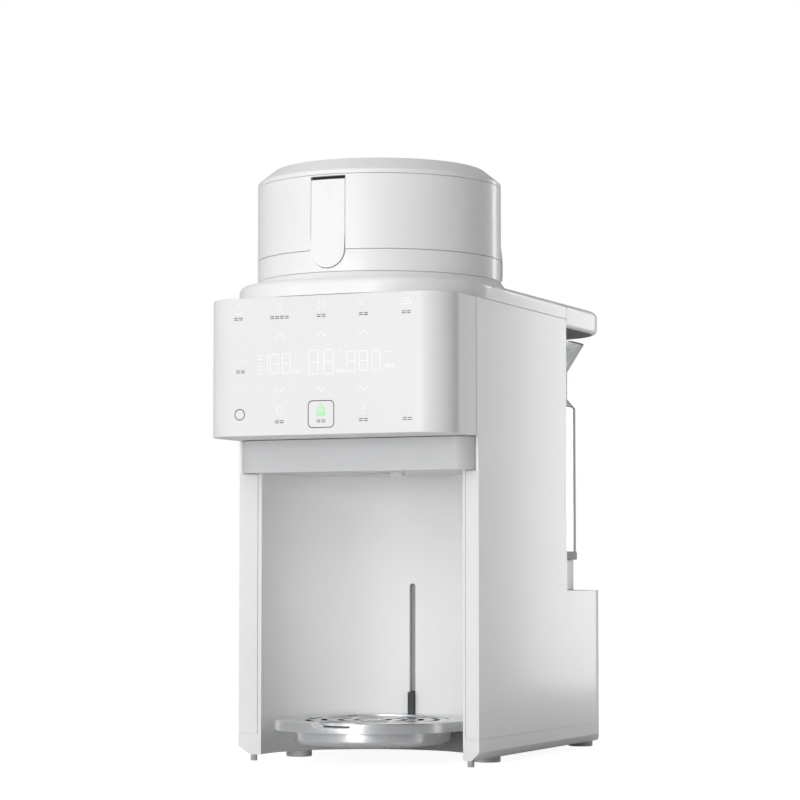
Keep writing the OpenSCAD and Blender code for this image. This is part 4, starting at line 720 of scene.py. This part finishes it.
class FORMULA_OT_panel_marks(bpy.types.Operator):
    """Prints the keys and lights the digits on the visor"""
    bl_idname = "formula.panel_marks"
    bl_label = "Panel marks"

    def execute(self, context):
        settings = context.scene.formula_panel
        colours = context.scene.formula_colours
        self.step = settings.column / MM
        self.icons(settings)
        self.digits(settings)
        self.print_words(settings, printed_ink("dark_ink", colours.ink, colours.thin_ink))
        self.bottle_key(settings, printed_ink("green_ink", colours.bottle, colours.thin_bottle, 0.35))
        return {"FINISHED"}

    def icons(self, settings):
        """White line icons of the touch keys, and the arrows."""
        pen = Pen("panel_icons", settings)
        deselect()
        step = self.step
        top, low = ICON_ROW, LOW_ICON_ROW
        # Rinse: a drop over a bowl
        pen.drop((-2 * step, top + 1), 5)
        pen.arc((-2 * step, top - 1), 3.4, 200, 340, 8)
        # Powder: a spoon's bowl over a mound
        pen.arc((-step, top + 0.6), 1.8, steps=12)
        pen.line([(-step - 2.6, top - 2.8), (-step, top - 1.8), (-step + 2.6, top - 2.8)])
        # Warmth: four short blades
        for turn in (45, 135, 225, 315):
            a = math.radians(turn)
            pen.bar((1.1 * math.cos(a), top + 1.1 * math.sin(a)),
                    (3.6 * math.cos(a), top + 3.6 * math.sin(a)), 0.6)
        # Amount: a cup with a handle
        pen.rounded((step - 2.8, top - 2.9), (step + 1.4, top + 2.9), 0.8)
        pen.arc((step + 1.6, top + 0.2), 1.6, -80, 80, 8)
        # Calibration: a balance with its pointer
        pen.line([(2 * step - 3.9, top - 2.2), (2 * step - 2.2, top + 2.2),
                  (2 * step + 2.2, top + 2.2), (2 * step + 3.9, top - 2.2)], closed=True)
        pen.line([(2 * step - 1.2, top + 0.4), (2 * step, top - 0.9), (2 * step + 1.4, top + 0.9)])
        # Clock beside the digits
        pen.arc((-65, 293.9), 2.5, steps=14)
        pen.line([(-65, 295.4), (-65, 293.9), (-63.9, 293.4)])
        # Lower row: cup, drop and lock
        pen.line([(-step - 2.4, low + 2.9), (-step - 1.9, low - 1.6), (-step, low - 2.9),
                  (-step + 1.9, low - 1.6), (-step + 2.4, low + 2.9)], closed=True)
        pen.drop((step, low), 6)
        pen.rounded((2 * step - 1.5, low - 2.9), (2 * step + 3.1, low + 0.6), 0.6)
        pen.arc((2 * step + 0.8, low + 0.6), 1.5, 0, 180, 8)
        for column in (-step, 0, step):
            for z, rise in ((UP_ROW, 3.3), (DOWN_ROW, -3.3)):
                pen.line([(column - 3.6, z - rise / 2), (column, z + rise / 2),
                          (column + 3.6, z - rise / 2)], 0.55)
        pen.done("housing", printed_ink("white_ink", "#ffffff", "#f8f8f8", 0.08))

    def digits(self, settings):
        """Three lit groups of seven-segment digits with their small marks."""
        pen = Pen("panel_digits", settings)
        deselect()
        side = (6.6, settings.digit_low / MM)
        middle = (7.4, settings.digit_high / MM)
        level = DIGIT_ROW
        for x in (-37.5, -28.1):
            pen.digit((x, level), side, 0.42)
        pen.digit((-46.6, level), side, 0.42, "bc")
        for x in (-6.2, 6.0):
            pen.digit((x, level), middle, 0.5)
        for x in (23.6, 33.5, 43.4):
            pen.digit((x, level), side, 0.42)
        # Small marks: a level gauge on the left, and a dash or two beside each group
        for i, length in enumerate((3.2, 2.0, 2.0, 2.8, 2.8, 2.8)):
            pen.bar((-50.6, 298 - 2.6 * i), (-50.6 + length, 298 - 2.6 * i), 0.55)
        pen.arc((-20.8, 297.2), 1.1, steps=8)
        pen.dashes((-19.8, 285.6), 3, 2.7, 1.9, 0.5)
        pen.arc((14.4, 299.8), 0.8, steps=8)
        pen.dashes((15.4, 285.2), 2, 2.9, 2.0, 0.5)
        pen.dashes((52.6, 297.6), 2, 2.6, 1.8, 0.5, 1)
        pen.dashes((54.2, 287.6), 3, 2.7, 1.9, 0.5)
        pen.done("housing", printed_ink("lit_window", "#ffffff", "#fafafa", 0.1))

    def print_words(self, settings, ink):
        """Dark dashes where a real panel has words, and the dark ring of the main switch."""
        pen = Pen("panel_print", settings)
        deselect()
        step = self.step
        for column, count in ((-2, 2), (-1, 4), (0, 2), (1, 2), (2, 2)):
            pen.dashes((column * step, WORD_ROW), count)
        pen.dashes((-65.2, 286.6), 2)
        for x in (-step, step, 2 * step + 0.8):
            pen.dashes((x, LOW_WORD_ROW), 2)
        pen.dashes((0, LOW_WORD_ROW - 0.2), 2)
        pen.arc((-65.7, 255.3), 3.9, steps=28, width=0.6)
        pen.rounded((-10.2, 244.6), (10.2, 263.9), 3.2, 0.6)
        pen.done("housing", ink)

    def bottle_key(self, settings, ink):
        """Green feeding bottle on the middle key."""
        pen = Pen("panel_bottle", settings)
        deselect()
        pen.rounded((-2.9, 253.2), (2.9, 258.6), 1.2, 0.6)
        pen.line([(-2.2, 258.9), (-1.0, 260.2), (0, 261.6), (1.0, 260.2), (2.2, 258.9)], 0.55)
        for rise in (0.9, 1.9, 2.9):
            pen.bar((-2.0, 253.4 + rise), (2.0, 253.4 + rise), 0.6)
        pen.done("housing", ink)


class FORMULA_OT_stage(bpy.types.Operator):
    """Adds the pale floor, the soft studio light and the camera"""
    bl_idname = "formula.stage"
    bl_label = "Stage"

    def execute(self, context):
        settings = context.scene.formula_stage
        deselect()
        bpy.ops.mesh.primitive_plane_add(size=FLOOR_SIZE, location=(0, 0, 0))
        floor = context.object
        floor.name = "floor"
        floor.data.materials.append(pale_floor())
        surround(settings.sky)
        for name, (place, target, size) in LAMPS.items():
            self.lamp(name, place, target, size, getattr(settings, name))
        self.camera(context, settings)
        return {"FINISHED"}

    def lamp(self, name, place, target, size, power):
        """An oblong soft light, so wide and so high, that faces a point."""
        data = bpy.data.lights.new(name, "AREA")
        data.shape = "RECTANGLE"
        data.size, data.size_y = size
        data.energy = power
        lamp = bpy.data.objects.new(name, data)
        lamp.location = place
        lamp.rotation_euler = (Vector(target) - Vector(place)).to_track_quat("-Z", "Y").to_euler()
        bpy.context.scene.collection.objects.link(lamp)

    def camera(self, context, settings):
        """The camera at the photograph's angle."""
        data = bpy.data.cameras.new("camera")
        data.lens = settings.lens
        data.sensor_width = 36
        camera = bpy.data.objects.new("camera", data)
        camera.location = settings.place
        camera.rotation_euler = Vector(settings.look).to_track_quat("-Z", "Y").to_euler()
        context.scene.collection.objects.link(camera)
        context.scene.camera = camera


def surround(strength):
    """White surround that is darker towards the right, as beside a black card."""
    world = bpy.data.worlds.new("surround")
    world.use_nodes = True
    tree = world.node_tree
    tree.nodes.clear()
    where = add_node(tree, "ShaderNodeTexCoord")
    parts = add_node(tree, "ShaderNodeSeparateXYZ", {"Vector": where.outputs["Generated"]})
    back = add_node(tree, "ShaderNodeMath", {0: parts.outputs["Y"]}, {1: -1.0},
                    operation="MULTIPLY")
    turn = add_node(tree, "ShaderNodeMath", {0: parts.outputs["X"], 1: back.outputs["Value"]},
                    operation="ARCTAN2")
    share = add_node(tree, "ShaderNodeMapRange", {"Value": turn.outputs["Value"]},
                     {"From Min": -math.pi, "From Max": math.pi})
    ramp = add_node(tree, "ShaderNodeValToRGB", {"Fac": share.outputs["Result"]})
    # Turn from the front towards the right in degrees, and the grey seen there
    stops = [(-180, 0.75), (-120, 0.9), (-60, 1.0), (20, 0.9), (60, 0.42), (100, 0.16), (150, 0.25),
             (180, 0.75)]
    while len(ramp.color_ramp.elements) < len(stops):
        ramp.color_ramp.elements.new(0.5)
    for element, (degrees, grey) in zip(ramp.color_ramp.elements, stops):
        element.position = (degrees + 180) / 360
        element.color = (grey, grey, grey * 1.01, 1.0)
    ramp.color_ramp.interpolation = "EASE"
    seen = add_node(tree, "ShaderNodeLightPath")
    # A softbox overhead makes the upper part brighter
    lift = add_node(tree, "ShaderNodeMapRange", {"Value": parts.outputs["Z"]},
                    {"From Max": 1.0, "To Min": strength, "To Max": OVERHEAD * strength})
    lit = add_node(tree, "ShaderNodeBackground", {"Color": ramp.outputs["Color"],
                                                  "Strength": lift.outputs["Result"]})
    plain = add_node(tree, "ShaderNodeBackground", None,
                     {"Color": (1.0, 1.0, 1.0, 1.0), "Strength": 1.0})
    both = add_node(tree, "ShaderNodeMixShader", {"Fac": seen.outputs["Is Camera Ray"],
                                                 1: lit.outputs["Background"],
                                                 2: plain.outputs["Background"]})
    add_node(tree, "ShaderNodeOutputWorld", {"Surface": both.outputs["Shader"]})
    bpy.context.scene.world = world
    bpy.context.scene.view_settings.view_transform = "Standard"


class FORMULA_PT_panel(bpy.types.Panel):
    """Lists the steps and their sizes"""
    bl_idname = "FORMULA_PT_panel"
    bl_label = "Formula Maker"
    bl_space_type = "VIEW_3D"
    bl_region_type = "UI"
    bl_category = "Formula Maker"

    def draw(self, context):
        scene = context.scene
        for settings, names in (
                (scene.formula_colours, ("shell", "shell_shade", "panel", "panel_shade",
                                         "ink", "thin_ink", "bottle", "thin_bottle")),
                (scene.formula_edges, ("scale", "segments")),
                (scene.formula_panel, ("column", "stroke", "proud", "digit_high", "digit_low")),
                (scene.formula_latches, ("window_drop", "clearance", "depth", "thickness")),
                (scene.formula_stage, ("key", "top", "low", "rim", "sky", "lens", "place", "look"))):
            for name in names:
                self.layout.prop(settings, name)
        for step in STEPS:
            self.layout.operator(step.bl_idname)


STEPS = (FORMULA_OT_finishes, FORMULA_OT_soft_edges, FORMULA_OT_latch_shadow_strips,
         FORMULA_OT_panel_marks, FORMULA_OT_stage)
CLASSES = (ColourSettings, EdgeSettings, PanelSettings, LatchSettings, StageSettings, *STEPS,
           FORMULA_PT_panel)


def register():
    """Registers the classes and hangs the settings on the scene."""
    for cls in CLASSES:
        bpy.utils.register_class(cls)
    bpy.types.Scene.formula_colours = PointerProperty(type=ColourSettings)
    bpy.types.Scene.formula_edges = PointerProperty(type=EdgeSettings)
    bpy.types.Scene.formula_panel = PointerProperty(type=PanelSettings)
    bpy.types.Scene.formula_latches = PointerProperty(type=LatchSettings)
    bpy.types.Scene.formula_stage = PointerProperty(type=StageSettings)


def unregister():
    """Takes the settings and the classes away again."""
    del bpy.types.Scene.formula_stage
    del bpy.types.Scene.formula_latches
    del bpy.types.Scene.formula_panel
    del bpy.types.Scene.formula_edges
    del bpy.types.Scene.formula_colours
    for cls in reversed(CLASSES):
        bpy.utils.unregister_class(cls)


def main():
    """Runs each step."""
    register()
    bpy.ops.formula.finishes()
    bpy.ops.formula.soft_edges()
    bpy.ops.formula.latch_strips()
    bpy.ops.formula.panel_marks()
    bpy.ops.formula.stage()


if __name__ == "__main__":
    main()
